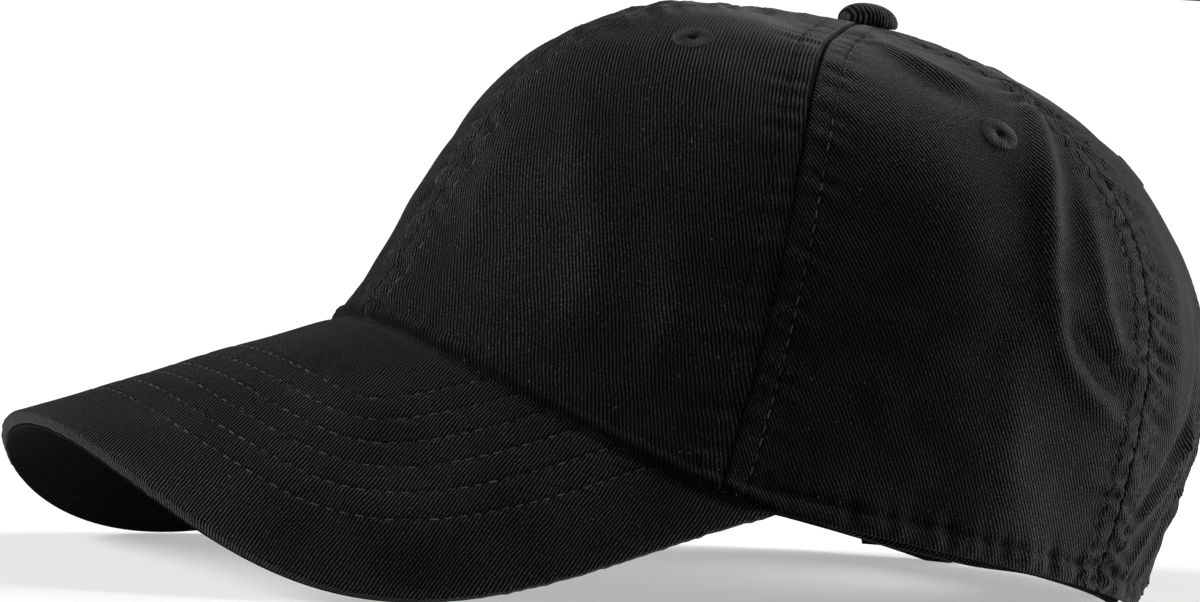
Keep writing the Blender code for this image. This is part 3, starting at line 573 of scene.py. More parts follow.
def sewingThread(name, colours, twist, sheen):
    # Spun polyester sewing thread, twisted from two plies: slanted plies show along each stitch.
    made, tree, shader = newFinish(name)
    grain = grainOf(tree)
    plies = addNode(tree, "ShaderNodeTexWave", {"wave_type": "BANDS", "bands_direction": "DIAGONAL"},
                    {"Vector": grain, "Scale": twist, "Distortion": 0.6, "Detail": 1.0}).outputs["Fac"]
    fluff = noise(tree, grain, 0.6, 3.0, dimensions="2D")
    mixed = calc(tree, "MULTIPLY", plies, fluff.outputs["Fac"])
    shine = calc(tree, "MULTIPLY_ADD", wearAndShadeOf(tree), 1.6, mixed, clamp=True)
    fill(tree, shader, {
        "Base Color": blend(tree, shine, hexColour(colours[0]), hexColour(colours[1])),
        "Normal": relief(tree, plies, 0.7, 0.08 * mm),
        "Roughness": 0.75, "IOR": 1.54, "Specular IOR Level": 0.06,
        "Sheen Weight": sheen, "Sheen Roughness": 0.35,
    })
    return made


# The real rib spacing is about 0.6 mm; it is drawn at 0.9 mm so that it shows.
twillFinish = {"ribAngle": 119.0, "pitch": 0.92, "floatLength": 2.6, "waver": 0.9, "valley": "#010101",
               "rib": "#515152", "lint": "#6a6a6a", "bump": 1.0, "specular": 0.03, "sheen": 0.15,
               "wearAndShadeGain": 0.8, "bloomTint": "#d8d8dc"}
crownTwill = twill("washed_cotton_twill", twillFinish)
visorTwill = twill("washed_cotton_twill_visor",
                   {**twillFinish, "waver": 1.3, "ribAngle": 56.0, "pitch": 0.80, "rib": "#4a4a4b"})
# the underside is the same black twill, given a much darker rib colour as painted shade
shadedUnderTwill = twill("cotton_twill_underside_painted_shade",
                   {**twillFinish, "ribAngle": 124.0, "rib": "#0e0e0f", "sheen": 0.03})
bandTwill = twill("herringbone_cotton_tape",
                  {**twillFinish, "ribAngle": 45.0, "pitch": 0.7, "rib": "#464647"})
strapTwill = twill("washed_cotton_twill_strap", {**twillFinish, "ribAngle": 60.0})
sewing = sewingThread("spun_polyester_thread", ("#070708", "#343436"), 0.9, 0.08)
faintSewing = sewingThread("spun_polyester_thread_faded_in", ("#030303", "#121213"), 0.9, 0.03)
# pale thread for the front centre rows: painted highlight
highlightedSewing = sewingThread("spun_polyester_thread_painted_highlight", ("#131314", "#48484a"), 0.9, 0.06)
visorSewingThread = sewingThread("spun_polyester_thread_visor", ("#0e0e0f", "#434345"), 0.9, 0.10)
embroidery = sewingThread("rayon_embroidery_thread", ("#121213", "#4a4a4c"), 0.45, 0.03)
print("cloth finishes ready")


panelDetail = {"columns": 124, "rows": 176, "footLift": 0.45 * mm, "denser": 0.5,
               "besideArch": 56, "overArch": 84, "bulge": (1.1, 0.3, 0.3, 0.3)}


def crownPanel(name, first, last, rearSide=0):
    columns, rows = panelDetail["columns"], panelDetail["rows"]
    even = np.linspace(0.0, 1.0, columns)
    shares = even - panelDetail["denser"] * np.sin(2 * pi * even) / (2 * pi)
    if rearSide:
        width = 180.0 - crownShape["rearSeam"]
        opening = (180.0 - crownShape["archHalf"] - crownShape["rearSeam"]) / width
        curl = 1.0 - (1.0 - opening) * np.cos(np.linspace(0.0, pi / 2, panelDetail["overArch"]))
        shares = np.concatenate((np.linspace(0.0, opening, panelDetail["besideArch"])[:-1], curl))
        if rearSide < 0:
            shares = 1.0 - shares[::-1]
    nominal = np.radians(first + (last - first) * shares)
    foot = tAtLength(nominal, archFoot(nominal) + panelDetail["footLift"])
    climb = np.linspace(0.0, 1.0, rows)[:, None]
    t = foot + (crownShape["topT"] - foot) * climb
    left, right = seamAngle(first, t[:, :1]), seamAngle(last, t[:, -1:])
    left = left + crownShape["seamGap"] / 2 / metresPerRadian(left, t[:, :1])
    right = right - crownShape["seamGap"] / 2 / metresPerRadian(right, t[:, -1:])
    angle = left + (right - left) * shares
    lift, wearAndShade = clothLie(angle, t)
    skin, normal = crownSkin(angle, t), crownNormal(angle, t)
    below = np.where(lift > 0, 0.85 * lift, np.maximum(0.35 * lift, -0.3 * mm)) - crownShape["thick"]
    outer = skin + lift[..., None] * normal
    inner = skin + below[..., None] * normal
    outer[..., 2] = np.maximum(outer[..., 2], 0.3 * mm)
    inner[..., 2] = np.maximum(inner[..., 2], 0.3 * mm)
    middle = (seamAngle(first, t) + seamAngle(last, t)) / 2
    grain = np.stack(((angle - middle) * metresPerRadian(angle, t), lengthAt(angle, t)), -1) / mm
    panel = sheet("cloth_" + name, outer, inner, crownTwill, grain, wearAndShade, panelDetail["bulge"])
    return place(panel, "cap", "cotton_twill", "crown_panel_" + name)


front, rear = crownShape["frontSeam"], crownShape["rearSeam"]
panels = {
    "front_left": crownPanel("front_left", 0.0, front),
    "front_right": crownPanel("front_right", -front, 0.0),
    "side_left": crownPanel("side_left", front, rear),
    "side_right": crownPanel("side_right", -rear, -front),
    "back_left": crownPanel("back_left", rear, 180.0, 1),
    "back_right": crownPanel("back_right", -180.0, -rear, -1),
}
print("crown panels made")


eyelet = {"places": {"front": (37.0, 0.666), "side": (111.7, 0.669), "back": (158.0, 0.67)},
          "hole": 1.15 * mm, "ring": 4.75 * mm, "proud": 0.55 * mm, "backProud": 0.55, "deep": 1.7 * mm,
          "wraps": 34, "wrapDepth": 0.17 * mm, "punch": 2.3 * mm}


def surfaceFrame(angle, t):
    spot = Vector(crownPoint(np.array(angle), np.array(t)))
    out = Vector(crownNormal(np.array(angle), np.array(t)))
    return Matrix.Translation(spot) @ out.to_track_quat("Z", "Y").to_matrix().to_4x4()


def turnedGrid(profile, turns, ripple, matrix):
    # points of a profile (radius, height) turned around a frame's axis; ripple moves each out or in
    radius, height = profile[:, 0][None], profile[:, 1][None]
    turn = turns[:, None]
    dr, dh = ripple(turn, radius, height)
    flat = np.stack(((radius + dr) * np.cos(turn), (radius + dr) * np.sin(turn), height + dh), -1)
    spin = np.array(matrix.to_3x3())
    return flat @ spin.T + np.array(matrix.translation)


def ringQuads(n, m):
    index = np.arange(n * m).reshape(n, m)
    there, following = np.roll(index, -1, axis=0), np.roll(index, -1, axis=1)
    return index, np.stack((index, there, np.roll(there, -1, axis=1), following), -1)


def makeEyelet(part, side, sign):
    degrees, t = eyelet["places"][part]
    matrix = surfaceFrame(math.radians(sign * degrees), t)
    proud = eyelet["proud"] * (eyelet["backProud"] if part == "back" else 1.0)
    around = np.linspace(0, 2 * pi, 22, endpoint=False)
    midR = (eyelet["hole"] + eyelet["ring"]) / 2
    halfR = (eyelet["ring"] - eyelet["hole"]) / 2
    profile = np.stack((midR + halfR * np.cos(around),
                        np.where(np.sin(around) > 0, proud, eyelet["deep"]) * np.sin(around)), -1)
    draw = np.random.default_rng(int(degrees) + 5 * sign)
    slack = draw.uniform(0.5, 1.3, eyelet["wraps"])

    def wraps(turn, radius, height):
        beat = turn * eyelet["wraps"] / 2
        which = (np.floor(beat / pi) % eyelet["wraps"]).astype(int)
        rib = (np.abs(np.sin(beat)) - 0.6) * eyelet["wrapDepth"] * slack[which]
        return rib * (radius - midR) / halfR, rib * np.sign(height) * 0.9

    turns = np.linspace(0, 2 * pi, 300, endpoint=False)
    points = turnedGrid(profile, turns, wraps, matrix)
    grain = np.stack(np.broadcast_arrays(turns[:, None] * 14.0, around[None] * 2.0), -1)
    quads = ringQuads(*points.shape[:2])[1].reshape(-1, 4)
    piece = meshFrom(f"embroidered_eyelet_{part}_{side}", points.reshape(-1, 3), quads, embroidery,
                     grain.reshape(-1, 2))
    place(piece, "cap", "embroidery_thread", f"eyelet_{part}_{side}")
    panel = panels[f"{part}_{side}"]
    bpy.ops.mesh.primitive_cylinder_add(vertices=48, radius=eyelet["punch"], depth=9 * mm)
    punch = bpy.context.active_object
    punch.matrix_world = matrix
    cut = panel.modifiers.new("hole", "BOOLEAN")
    cut.operation, cut.solver, cut.object = "DIFFERENCE", "EXACT", punch
    bpy.context.view_layer.update()
    punched = bpy.data.meshes.new_from_object(panel.evaluated_get(bpy.context.evaluated_depsgraph_get()))
    panel.modifiers.clear()
    panel.data = punched
    bpy.data.objects.remove(punch)


for part in eyelet["places"]:
    makeEyelet(part, "left", 1)
    makeEyelet(part, "right", -1)
print("eyelets made")


stitch = {"long": 2.95 * mm, "pause": 0.45 * mm, "thick": 0.36 * mm, "inside": 0.42 * mm,
          "proud": 0.05 * mm, "sink": 0.42 * mm}


def stitchRow(points, normals, seed, thick=stitch["thick"]):
    # one sewn row: short lengths of thread that dive into the cloth at both ends
    long, pause = stitch["long"], stitch["pause"]
    run = np.concatenate(([0.0], np.cumsum(np.linalg.norm(np.diff(points, axis=0), axis=1))))
    count = max(1, int(run[-1] / (long + pause)))
    pitch = run[-1] / count
    draw = np.random.default_rng(seed)
    u = np.array((-1.0, -0.86, -0.5, 0.0, 0.5, 0.86, 1.0))
    around = np.linspace(0, 2 * pi, 7)[:-1]
    width = np.array((0.34, 0.72, 0.95, 1.0, 0.95, 0.72, 0.34)) * thick / 2
    rise = stitch["proud"] - stitch["sink"] * np.abs(u) ** 4
    middle = (np.arange(count) + 0.5) * pitch + draw.normal(0, 0.05 * mm, count)
    half = (long * pitch / (long + pause)) / 2 * draw.uniform(0.93, 1.04, count)
    at = middle[:, None] + half[:, None] * u[None]
    centre = np.stack([np.interp(at, run, points[:, k]) for k in range(3)], -1)
    normal = unit(np.stack([np.interp(at, run, normals[:, k]) for k in range(3)], -1))
    along = unit(centre[:, -1] - centre[:, 0])[:, None]
    side = unit(np.cross(normal, along))
    skew = draw.normal(0, 0.07 * mm, (count, 1)) * u[None]
    height = rise[None] + draw.normal(0, 0.03 * mm, (count, 1))
    centre = centre + side * skew[..., None] + normal * height[..., None]
    ringsAt = (centre[:, :, None] + width[None, :, None, None] * (
        side[:, :, None] * np.cos(around)[None, None, :, None] * 1.08
        + normal[:, :, None] * np.sin(around)[None, None, :, None] * 0.85))
    rings, sides = len(u), len(around)
    index = np.arange(rings * sides).reshape(rings, sides)
    turned = np.roll(index, -1, 1)
    quads = list(np.stack((index[:-1], turned[:-1], turned[1:], index[1:]), -1).reshape(-1, 4))
    first, last = index[0], index[-1]
    quads += [first[[3, 2, 1, 0]], first[[5, 4, 3, 0]], last[[0, 1, 2, 3]], last[[0, 3, 4, 5]]]
    quads = np.array(quads)
    allQuads = (quads[None] + (np.arange(count) * rings * sides)[:, None, None]).reshape(-1, 4)
    grain = np.stack(np.broadcast_arrays((at / mm)[:, :, None], (around * 0.5)[None, None]), -1)
    bright = np.repeat(draw.uniform(0.0, 1.0, count) ** 2, rings * sides)
    return ringsAt.reshape(-1, 3), allQuads, grain.reshape(-1, 2), bright


def joinRows(name, rows, finish, body, slot):
    points, quads, grain, wearAndShade = zip(*rows)
    starts = np.cumsum([0] + [len(p) for p in points])
    quads = [quad + start for quad, start in zip(quads, starts)]
    piece = meshFrom(name, np.concatenate(points), np.concatenate(quads), finish, np.concatenate(grain),
                     np.concatenate(wearAndShade))
    return place(piece, body, slot)


def crownRow(angle, t, seed):
    points = crownPoint(angle, t)
    points[:, 2] = np.maximum(points[:, 2], 0.7 * mm)
    return stitchRow(points, crownNormal(angle, t), seed)


def alongSeam(seam, offset, lowLength, topT=0.93):
    base = float(tAtLength(np.radians(float(seam)), lowLength))
    t = np.linspace(base, topT, 260)
    middle = seamAngle(seam, t)
    scale = metresPerRadian(middle, t)
    # near the button the rows close in with the narrowing panels
    room = np.minimum(abs(offset), 0.42 * scale * math.radians(48))
    return middle + math.copysign(1, offset) * room / scale, t


clearRows, faintRows, paleRows = [], [], []
for k, seam in enumerate(seams):
    startLength = crownShape["archHeight"] + 9 * mm if abs(seam) == 180 else 6.5 * mm
    for sign in (-1, 1):
        angle, t = alongSeam(seam, sign * clothRelief["rowAt"], startLength)
        # thread shows on the rear side of each front seam; along the front centre it is painted pale as a
        # highlight
        shows = abs(seam) == front and sign * seam > 0
        rowOf = paleRows if seam == 0 else clearRows if shows else faintRows
        rowOf.append(crownRow(angle, t, 100 + 2 * k + sign))
hemEnd = math.radians(180 - crownShape["archHalf"]) - 0.03
hemAngles = np.linspace(-hemEnd, hemEnd, 900)
behindVisor = np.abs(hemAngles) > visorShape["corner"] - 0.02
for sign in (-1, 1):
    part = hemAngles[behindVisor & (np.sign(hemAngles) == sign)]
    faintRows.append(crownRow(part, tAtLength(part, clothRelief["hemRowAt"]), 141 + sign))
archTurn = np.linspace(math.asin(0.1), pi - math.asin(0.1), 260)
for k, row in enumerate(clothRelief["archRows"]):
    half = math.radians(crownShape["archHalf"]) + row / crownShape["archRadius"]
    angle = pi - half * np.cos(archTurn)
    length = (crownShape["archHeight"] + row) * np.sin(archTurn)
    faintRows.append(crownRow(angle, tAtLength(angle, length), 160 + k))
joinRows("crown_topstitching", clearRows, sewing, "cap", "embroidery_thread")
joinRows("crown_topstitching_soft", faintRows, faintSewing, "cap", "embroidery_thread")
joinRows("crown_topstitching_painted_highlight", paleRows, highlightedSewing, "cap", "embroidery_thread")
print("crown stitched")


visorSewing = {"firstInset": 19.0 * mm, "spacing": 7.3 * mm, "rows": 6, "groove": 0.22 * mm,
               "grooveWidth": 0.55 * mm, "pillow": 0.07 * mm, "knotSizes": (3.4 * mm, 9.0 * mm)}
visorEdge = {"fabric": 0.9 * mm, "board": 1.7 * mm, "clear": 0.3 * mm, "roll": 0.75 * mm,
             "lip": 0.70, "underRim": 0.83, "rootDip": 0.62 * mm, "rootWidth": 2.0 * mm,
             "ribbing": 0.10 * mm, "ribbingSizes": (2.0 * mm, 7.0 * mm), "underStart": 0.02}
edgeDepth = 2 * visorEdge["fabric"] + visorEdge["board"] + 2 * visorEdge["clear"]


def visorPoints(across, along, depth):
    radius, slope = visorShape["radius"], visorShape["slope"]
    turn = across / radius
    drop = radius - (radius - depth) * np.cos(turn)
    x = (radius - depth) * np.sin(turn)
    y = (crownShape["hemCentre"] - crownShape["hemHalfLength"] - along * math.cos(slope)
         + math.sin(slope) * drop)
    z = visorShape["topZ"] - along * math.sin(slope) - drop * math.cos(slope)
    return np.stack(np.broadcast_arrays(x, y, z), axis=-1)


def visorPattern(columns):
    placeAcross = np.linspace(-1.0, 1.0, columns)
    x, y = hemPlan((visorShape["corner"] - math.radians(0.8)) * placeAcross)
    radius = visorShape["radius"]
    inner = np.stack((radius * np.arcsin(x / radius), visorLay(x, y)[1] - visorShape["tuck"]), -1)
    cornerX, cornerY = hemPlan(np.array(visorShape["corner"]))
    corner = np.array((radius * math.asin(cornerX / radius), float(visorLay(cornerX, cornerY)[1])))
    tip = visorShape["tip"]
    u = (tip + (1.0 - tip) * (1.0 - np.abs(placeAcross)))[:, None]
    pulls = (corner, corner + visorShape["sidePull"],
             np.array((visorShape["frontPull"], visorShape["length"])), np.array((0.0, visorShape["length"])))
    weights = ((1 - u) ** 3, 3 * u * (1 - u) ** 2, 3 * u * u * (1 - u), u ** 3)
    outer = sum(weight * pull for weight, pull in zip(weights, pulls))      # one Bezier curve for each side
    outer[:, 0] *= np.sign(placeAcross)
    return inner, outer


def inwardOf(edge, inner):
    tangent = np.gradient(edge, axis=0)
    inward = unit(np.stack((tangent[:, 1], -tangent[:, 0]), axis=-1))
    return inward * np.sign(np.sum(inward * (inner - edge), axis=1, keepdims=True) + 1e-9)


visorInner, visorOuter = visorPattern(421)
finePattern = visorPattern(1201)[1]


def edgeDistance(flat):
    # distance from the visor's cut edge, in its flat pattern
    shape = flat.shape[:-1]
    flat = flat.reshape(-1, 2)
    best = np.full(len(flat), 1.0)
    for chunk in np.array_split(finePattern[::2], 12):
        best = np.minimum(best, np.linalg.norm(flat[:, None] - chunk[None], axis=-1).min(axis=1))
    return best.reshape(shape)


rowInsets = visorSewing["firstInset"] + visorSewing["spacing"] * np.arange(visorSewing["rows"])


def visorLift(flat, inset):
    lift = np.zeros(inset.shape)
    laid = np.concatenate((flat, flat[..., :1] * 0), -1)
    # paler along the edge and towards the tip
    wearAndShade = 0.9 * bell(inset, 2.6 * mm) + 0.35 * smoothStep(flat[..., 1], 40 * mm, 80 * mm)
    wearAndShade = wearAndShade + 0.3 * billow(laid, 37, 21 * mm)
    for k, row in enumerate(rowInsets):
        gap = inset - row
        lift -= visorSewing["groove"] * bell(gap, visorSewing["grooveWidth"])
        wave = wander(flat[..., 0] * 1.3 + flat[..., 1], 200 + k, *visorSewing["knotSizes"])
        lift += 0.07 * mm * wave * bell(gap, 2.0 * mm)
        # painted shade in each row's groove; the pillows beside it are paler, partly rubbed wear and partly
        # painted highlight
        wearAndShade -= 0.5 * bell(gap, 0.7 * mm) * (1 + 0.5 * wave)
        wearAndShade += 0.12 * bell(np.abs(gap) - 1.6 * mm, 1.0 * mm) * (1 + wave)
    inRows = smoothStep(inset, rowInsets[0] - 3 * mm, rowInsets[0]) * (
        1 - smoothStep(inset, rowInsets[-1], rowInsets[-1] + 3 * mm))
    phase = (inset - rowInsets[0]) / visorSewing["spacing"]
    lift += visorSewing["pillow"] * np.abs(np.sin(pi * phase)) * inRows
    lift += 0.20 * mm * billow(laid, 31, 34 * mm)
    return lift, wearAndShade


def visorCover():
    inner, outer, e = visorInner, visorOuter, visorEdge
    inward = inwardOf(outer, inner)
    width = np.sum(inward * (inner - outer), axis=1)
    shares = np.linspace(0.0, 1.0, 150) ** 0.9
    roll, fabric, lip = e["roll"], e["fabric"], edgeDepth * e["lip"]
    trimmed = outer + inward * np.minimum(roll, 0.3 * width)[:, None]
    flat = inner[None] + (trimmed - inner)[None] * shares[:, None, None]
    inset = edgeDistance(flat)
    lift, wearAndShade = visorLift(flat, inset)
    root = bell(np.linalg.norm(flat - inner[None], axis=-1) - visorShape["tuck"], e["rootWidth"])
    lift -= e["rootDip"] * root
    # painted shadow where the visor runs in under the crown's hem
    wearAndShade -= 1.2 * root
    fade = smoothStep(inset, 0.3 * mm, 2.2 * mm)
    topPoints = visorPoints(flat[..., 0], flat[..., 1], -lift * fade)
    bottomPoints = visorPoints(flat[..., 0], flat[..., 1], np.full(inset.shape, fabric))
    # the cloth turns over the edge and runs down to the under cover's rim
    turns = np.linspace(0.0, pi / 2, 8)[1:]
    falls = [(lip - roll) * k / 7 for k in range(1, 8)]
    steps = [(roll * (1 - math.sin(a)), roll * (1 - math.cos(a))) for a in turns]
    steps += [(0.0, roll + fall) for fall in falls]
    depths = np.array([depth for _, depth in steps])[:, None]

    def wrap(least):
        return np.array([outer + inward * np.minimum(max(back, least), 0.3 * width)[:, None]
                         for back, _ in steps])

    outFlat, inFlat = wrap(0.0), wrap(fabric)
    ribbed = wander(np.arange(len(outer)) * 0.62 * mm, 77, *e["ribbingSizes"]) * e["ribbing"]
    outerWrap = visorPoints(outFlat[..., 0] - inward[:, 0] * ribbed, outFlat[..., 1] - inward[:, 1] * ribbed,
                            depths)
    innerWrap = visorPoints(inFlat[..., 0], inFlat[..., 1], np.maximum(depths, fabric))
    run = np.array([roll * a for a in turns] + [roll * pi / 2 + d for d in falls])
    grainWrap = trimmed[None] / mm - inward[None] * (run / mm)[:, None, None]
    wearWrap = np.full(outFlat.shape[:2], 1.4)
    pairs = ((topPoints, outerWrap), (bottomPoints, innerWrap), (flat / mm, grainWrap), (wearAndShade, wearWrap))
    above, below, grain, wearAndShade = (np.concatenate(pair) for pair in pairs)
    piece = sheet("cloth_visor_top", above, below, visorTwill, grain, wearAndShade, (0.5, 0.5, 1.0, 0.5))
    return place(piece, "cap", "cotton_twill", "visor_top_cover")


def visorUnder():
    inner, outer = visorInner[::2], visorOuter[::2]
    inward = inwardOf(outer, inner)
    width = np.sum(inward * (inner - outer), axis=1)
    shares = np.linspace(0.0, 1.0, 60)
    start = inner + (outer - inner) * visorEdge["underStart"]
    trimmed = outer + inward * np.minimum(0.55 * mm, 0.3 * width)[:, None]
    flat = start[None] + (trimmed - start)[None] * shares[:, None, None]
    inset = edgeDistance(flat)
    drop = sum(0.22 * mm * bell(inset - row, 1.0 * mm) for row in rowInsets)
    topDepth = edgeDepth - visorEdge["fabric"]
    rim = edgeDepth * visorEdge["underRim"] - topDepth
    rise = topDepth + rim * smoothStep(-inset, -1.6 * mm, -0.9 * mm)
    upper = visorPoints(flat[..., 0], flat[..., 1], np.maximum(rise, topDepth))
    lower = visorPoints(flat[..., 0], flat[..., 1], edgeDepth + 0.05 * mm - drop)
    piece = sheet("cloth_visor_underside", lower, upper, shadedUnderTwill, flat / mm,
                  1.6 * bell(inset, 0.9 * mm), (0.5, 0.5, 1.0, 0.5))
    return place(piece, "cap", "cotton_twill", "visor_under_cover")


def visorRow(inset):
    inward = inwardOf(finePattern, visorPattern(1201)[0])
    path = finePattern + inward * inset
    clear = edgeDistance(path) > inset - 0.25 * mm
    x = visorShape["radius"] * np.sin(path[:, 0] / visorShape["radius"])
    reach = np.clip(np.abs(x) / crownShape["hemHalfWidth"], 0, 0.999)
    power = crownShape["squareness"]
    hemY = crownShape["hemCentre"] - crownShape["hemHalfLength"] * (1 - reach ** power) ** (1 / power)
    start = visorLay(x, hemY)[1] + 1.2 * mm
    path = path[clear & (path[:, 1] > start)]
    run = np.concatenate(([0.0], np.cumsum(np.linalg.norm(np.diff(path, axis=0), axis=1))))
    even = np.linspace(0, run[-1], 400)
    return np.stack([np.interp(even, run, path[:, k]) for k in (0, 1)], -1)


def visorRows(depthOf, seedBase, flip):
    rows = []
    for k, inset in enumerate(rowInsets):
        path = visorRow(inset)
        lift, _ = visorLift(path, np.full(len(path), inset))
        depth = depthOf(lift)
        points = visorPoints(path[:, 0], path[:, 1], depth)
        deeper = visorPoints(path[:, 0], path[:, 1], depth + mm)
        rows.append(stitchRow(points, unit(points - deeper) * flip, seedBase + k))
    return rows


visorCover()
visorUnder()
topRows = visorRows(lambda lift: -lift, 300, 1)
underRows = visorRows(lambda lift: edgeDepth - 0.17 * mm + 0 * lift, 340, -1)
joinRows("visor_topstitching", topRows, visorSewingThread, "cap", "embroidery_thread")
joinRows("visor_underside_stitching", underRows, faintSewing, "cap", "embroidery_thread")
print("visor made")


buttonShape = {"radius": 7.2 * mm, "tall": 5.3 * mm, "base": 0.1 * mm, "shoulder": 0.9 * mm, "tilt": 6.0,
               "wall": 0.55 * mm, "gathers": 7, "gatherDepth": (0.13 * mm, 0.12 * mm), "swell": 0.10 * mm}


def buttonCover():
    b = buttonShape
    radius, base = b["radius"], b["base"]
    top = Vector((0.0, buttonAxis.y, crownShape["height"]))
    matrix = Matrix.Translation(top) @ Matrix.Rotation(-math.radians(b["tilt"]), 4, "X")
    rise = np.linspace(0.0, pi / 2, 34)[:-1]
    height = base + b["shoulder"] + (b["tall"] - b["shoulder"]) * np.sin(rise)
    foot = np.array([(radius - 1.1 * mm, base - 0.1 * mm), (radius - 0.4 * mm, base - 0.05 * mm),
                     (radius - 0.05 * mm, base + 0.35 * mm)])
    dome = np.concatenate((foot, np.stack((radius * np.cos(rise) ** 0.92, height), -1)))
    under = dome[::-1] * (1 - b["wall"] / radius)
    under[:, 1] = dome[::-1, 1] - b["wall"] * 0.9
    under[-3:, 0] = radius - 1.5 * mm
    under[-3:, 1] = (base + 0.9 * mm, base + 0.5 * mm, base + 0.1 * mm)
    profile = np.concatenate((dome, under))
    girth = 45 * mm

    def gathers(turn, radius, height):
        low = 1 - smoothStep(height, base + 0.4 * mm, base + 3.4 * mm)
        fold = wander(turn / (2 * pi) * girth, 401, 3.0 * mm, girth / b["gathers"], 4)
        close = np.sin(turn * 11 + 1.5 * np.sin(turn * 3))
        swell = b["swell"] * np.sin(turn * 2 + 0.8)
        deep, shallow = b["gatherDepth"]
        return low * (deep * fold + shallow * close) + swell, low * 0.05 * fold * mm

    turns = np.linspace(0, 2 * pi, 160, endpoint=False)
    points = turnedGrid(profile, turns, gathers, matrix)
    flat = profile[:, 0] * 1.15 / mm
    grain = np.stack((flat[None] * np.cos(turns)[:, None], flat[None] * np.sin(turns)[:, None]), -1)
    wearAndShade = np.broadcast_to(0.25 + 0.5 * bell(profile[:, 0] - radius, 1.4 * mm), points.shape[:2])
    index, quads = ringQuads(*points.shape[:2])
    half = len(dome)
    quads = [np.delete(quads, half - 1, axis=1).reshape(-1, 4)]
    # close the middle of the dome inside and out with a small cap
    for ring in (index[:, half - 1], index[::-1, half]):
        k = np.arange(0, len(ring) // 2 - 1)
        quads.append(np.stack((ring[k], ring[k + 1], ring[len(ring) - 2 - k], ring[len(ring) - 1 - k]), -1))
    piece = meshFrom("cloth_button_cover", points.reshape(-1, 3), np.concatenate(quads), buttonTwill,
                     grain.reshape(-1, 2), wearAndShade.ravel())
    return place(piece, "cap", "cotton_twill", "button_cover")


buttonTwill = twill("washed_cotton_twill_button",
                    {**twillFinish, "ribAngle": 12.0, "pitch": 0.95, "waver": 2.5, "rib": "#4c4c4d"})
buttonCover()
print("button made")


strapShape = {"radius": 71.5 * mm, "thick": 1.2 * mm, "bottom": 3.0 * mm, "width": 19.0 * mm,
              "sewn": -57.0, "free": 46.0, "edgeRow": 2.2 * mm, "blunt": 2.6 * mm,
              "puff": 0.13 * mm, "puffSizes": (4.0 * mm, 13.0 * mm)}
lining = {"depth": 1.5 * mm, "tapeThick": 0.5 * mm, "tapeHalf": 8.0 * mm, "tapeTop": 0.955, "tapeRow": 0.78,
          "bindingAngle": 6.0, "bindingRise": 8.0 * mm, "bindingFoot": 27.0 * mm}
sweatband = {"height": 32.0 * mm, "inset": 2.8 * mm, "thick": 0.9 * mm, "end": 148.0,
             "strapRoom": 0.5 * mm, "strapFrom": (96.0, 122.0), "showsFrom": (77.0, 92.0),
             "showsTo": (103.0, 120.0), "shows": 1.8 * mm, "rows": (0.16, 0.9), "crease": 0.28 * mm}
careLabel = {"angles": (96.0, 112.0), "lengths": (35.0 * mm, 62.0 * mm), "thick": 0.4 * mm, "curl": 0.35 * mm}


def layer(angle, t, depth):
    return crownSkin(angle, t) - np.asarray(depth)[..., None] * crownNormal(angle, t)


def tapeSheet(name, middle, t, half):
    across = np.linspace(-1.0, 1.0, 15)
    angle = middle + across * (half / metresPerRadian(middle, t))
    length = lengthAt(angle, t)
    node = "seam_tape_" + name
    ridge = 0.14 * mm * bell(np.abs(across) - lining["tapeRow"], 0.12) - 0.1 * mm * bell(across, 0.15)
    lift = ridge[None] + 0.08 * mm * wander(length + across[None] * 3 * mm, len(node), 5 * mm, 16 * mm)
    outer = layer(angle, t, lining["depth"] + 0 * length)
    inner = layer(angle, t, lining["depth"] + lining["tapeThick"] + lift)
    grain = np.stack((across * 8.0 + 0 * length, length / mm), -1)
    wearAndShade = 0.3 * bell(np.abs(across)[None] - 1, 0.12) + 0 * length
    piece = sheet("tape_" + name, inner, outer, bandTwill, grain, wearAndShade, (0.6,) * 4, 3)
    return place(piece, "cap", "lining_cotton", node)


def makeTapes():
    rows = []
    low = sweatband["height"] - 3 * mm
    high = crownShape["archHeight"] + lining["bindingRise"] + 1.5 * mm
    for name, seam, foot in (("front_centre", 0.0, low), ("rear_centre", 180.0, high),
                             ("front_left", front, low), ("front_right", -front, low),
                             ("rear_left", rear, low), ("rear_right", -rear, low)):
        start = float(tAtLength(np.radians(seam), foot))
        t = np.linspace(start, lining["tapeTop"], 110)[:, None]
        middle = seamAngle(seam, t)
        fromTop = np.linalg.norm(crownSkin(middle, t)[..., :2] - (0.0, buttonAxis.y), axis=-1)
        half = np.minimum(lining["tapeHalf"], fromTop * 0.36)
        tapeSheet(name, middle, t, half)
        for sign in (-1, 1):
            turn = (middle + sign * lining["tapeRow"] * half / metresPerRadian(middle, t))[:, 0]
            points = layer(turn, t[:, 0], lining["depth"] + lining["tapeThick"] + 0.18 * mm + 0 * turn)
            rows.append(stitchRow(points, -crownNormal(turn, t[:, 0]), 500 + len(rows), stitch["inside"]))
    joinRows("tape_stitching", rows, faintSewing, "cap", "embroidery_thread")


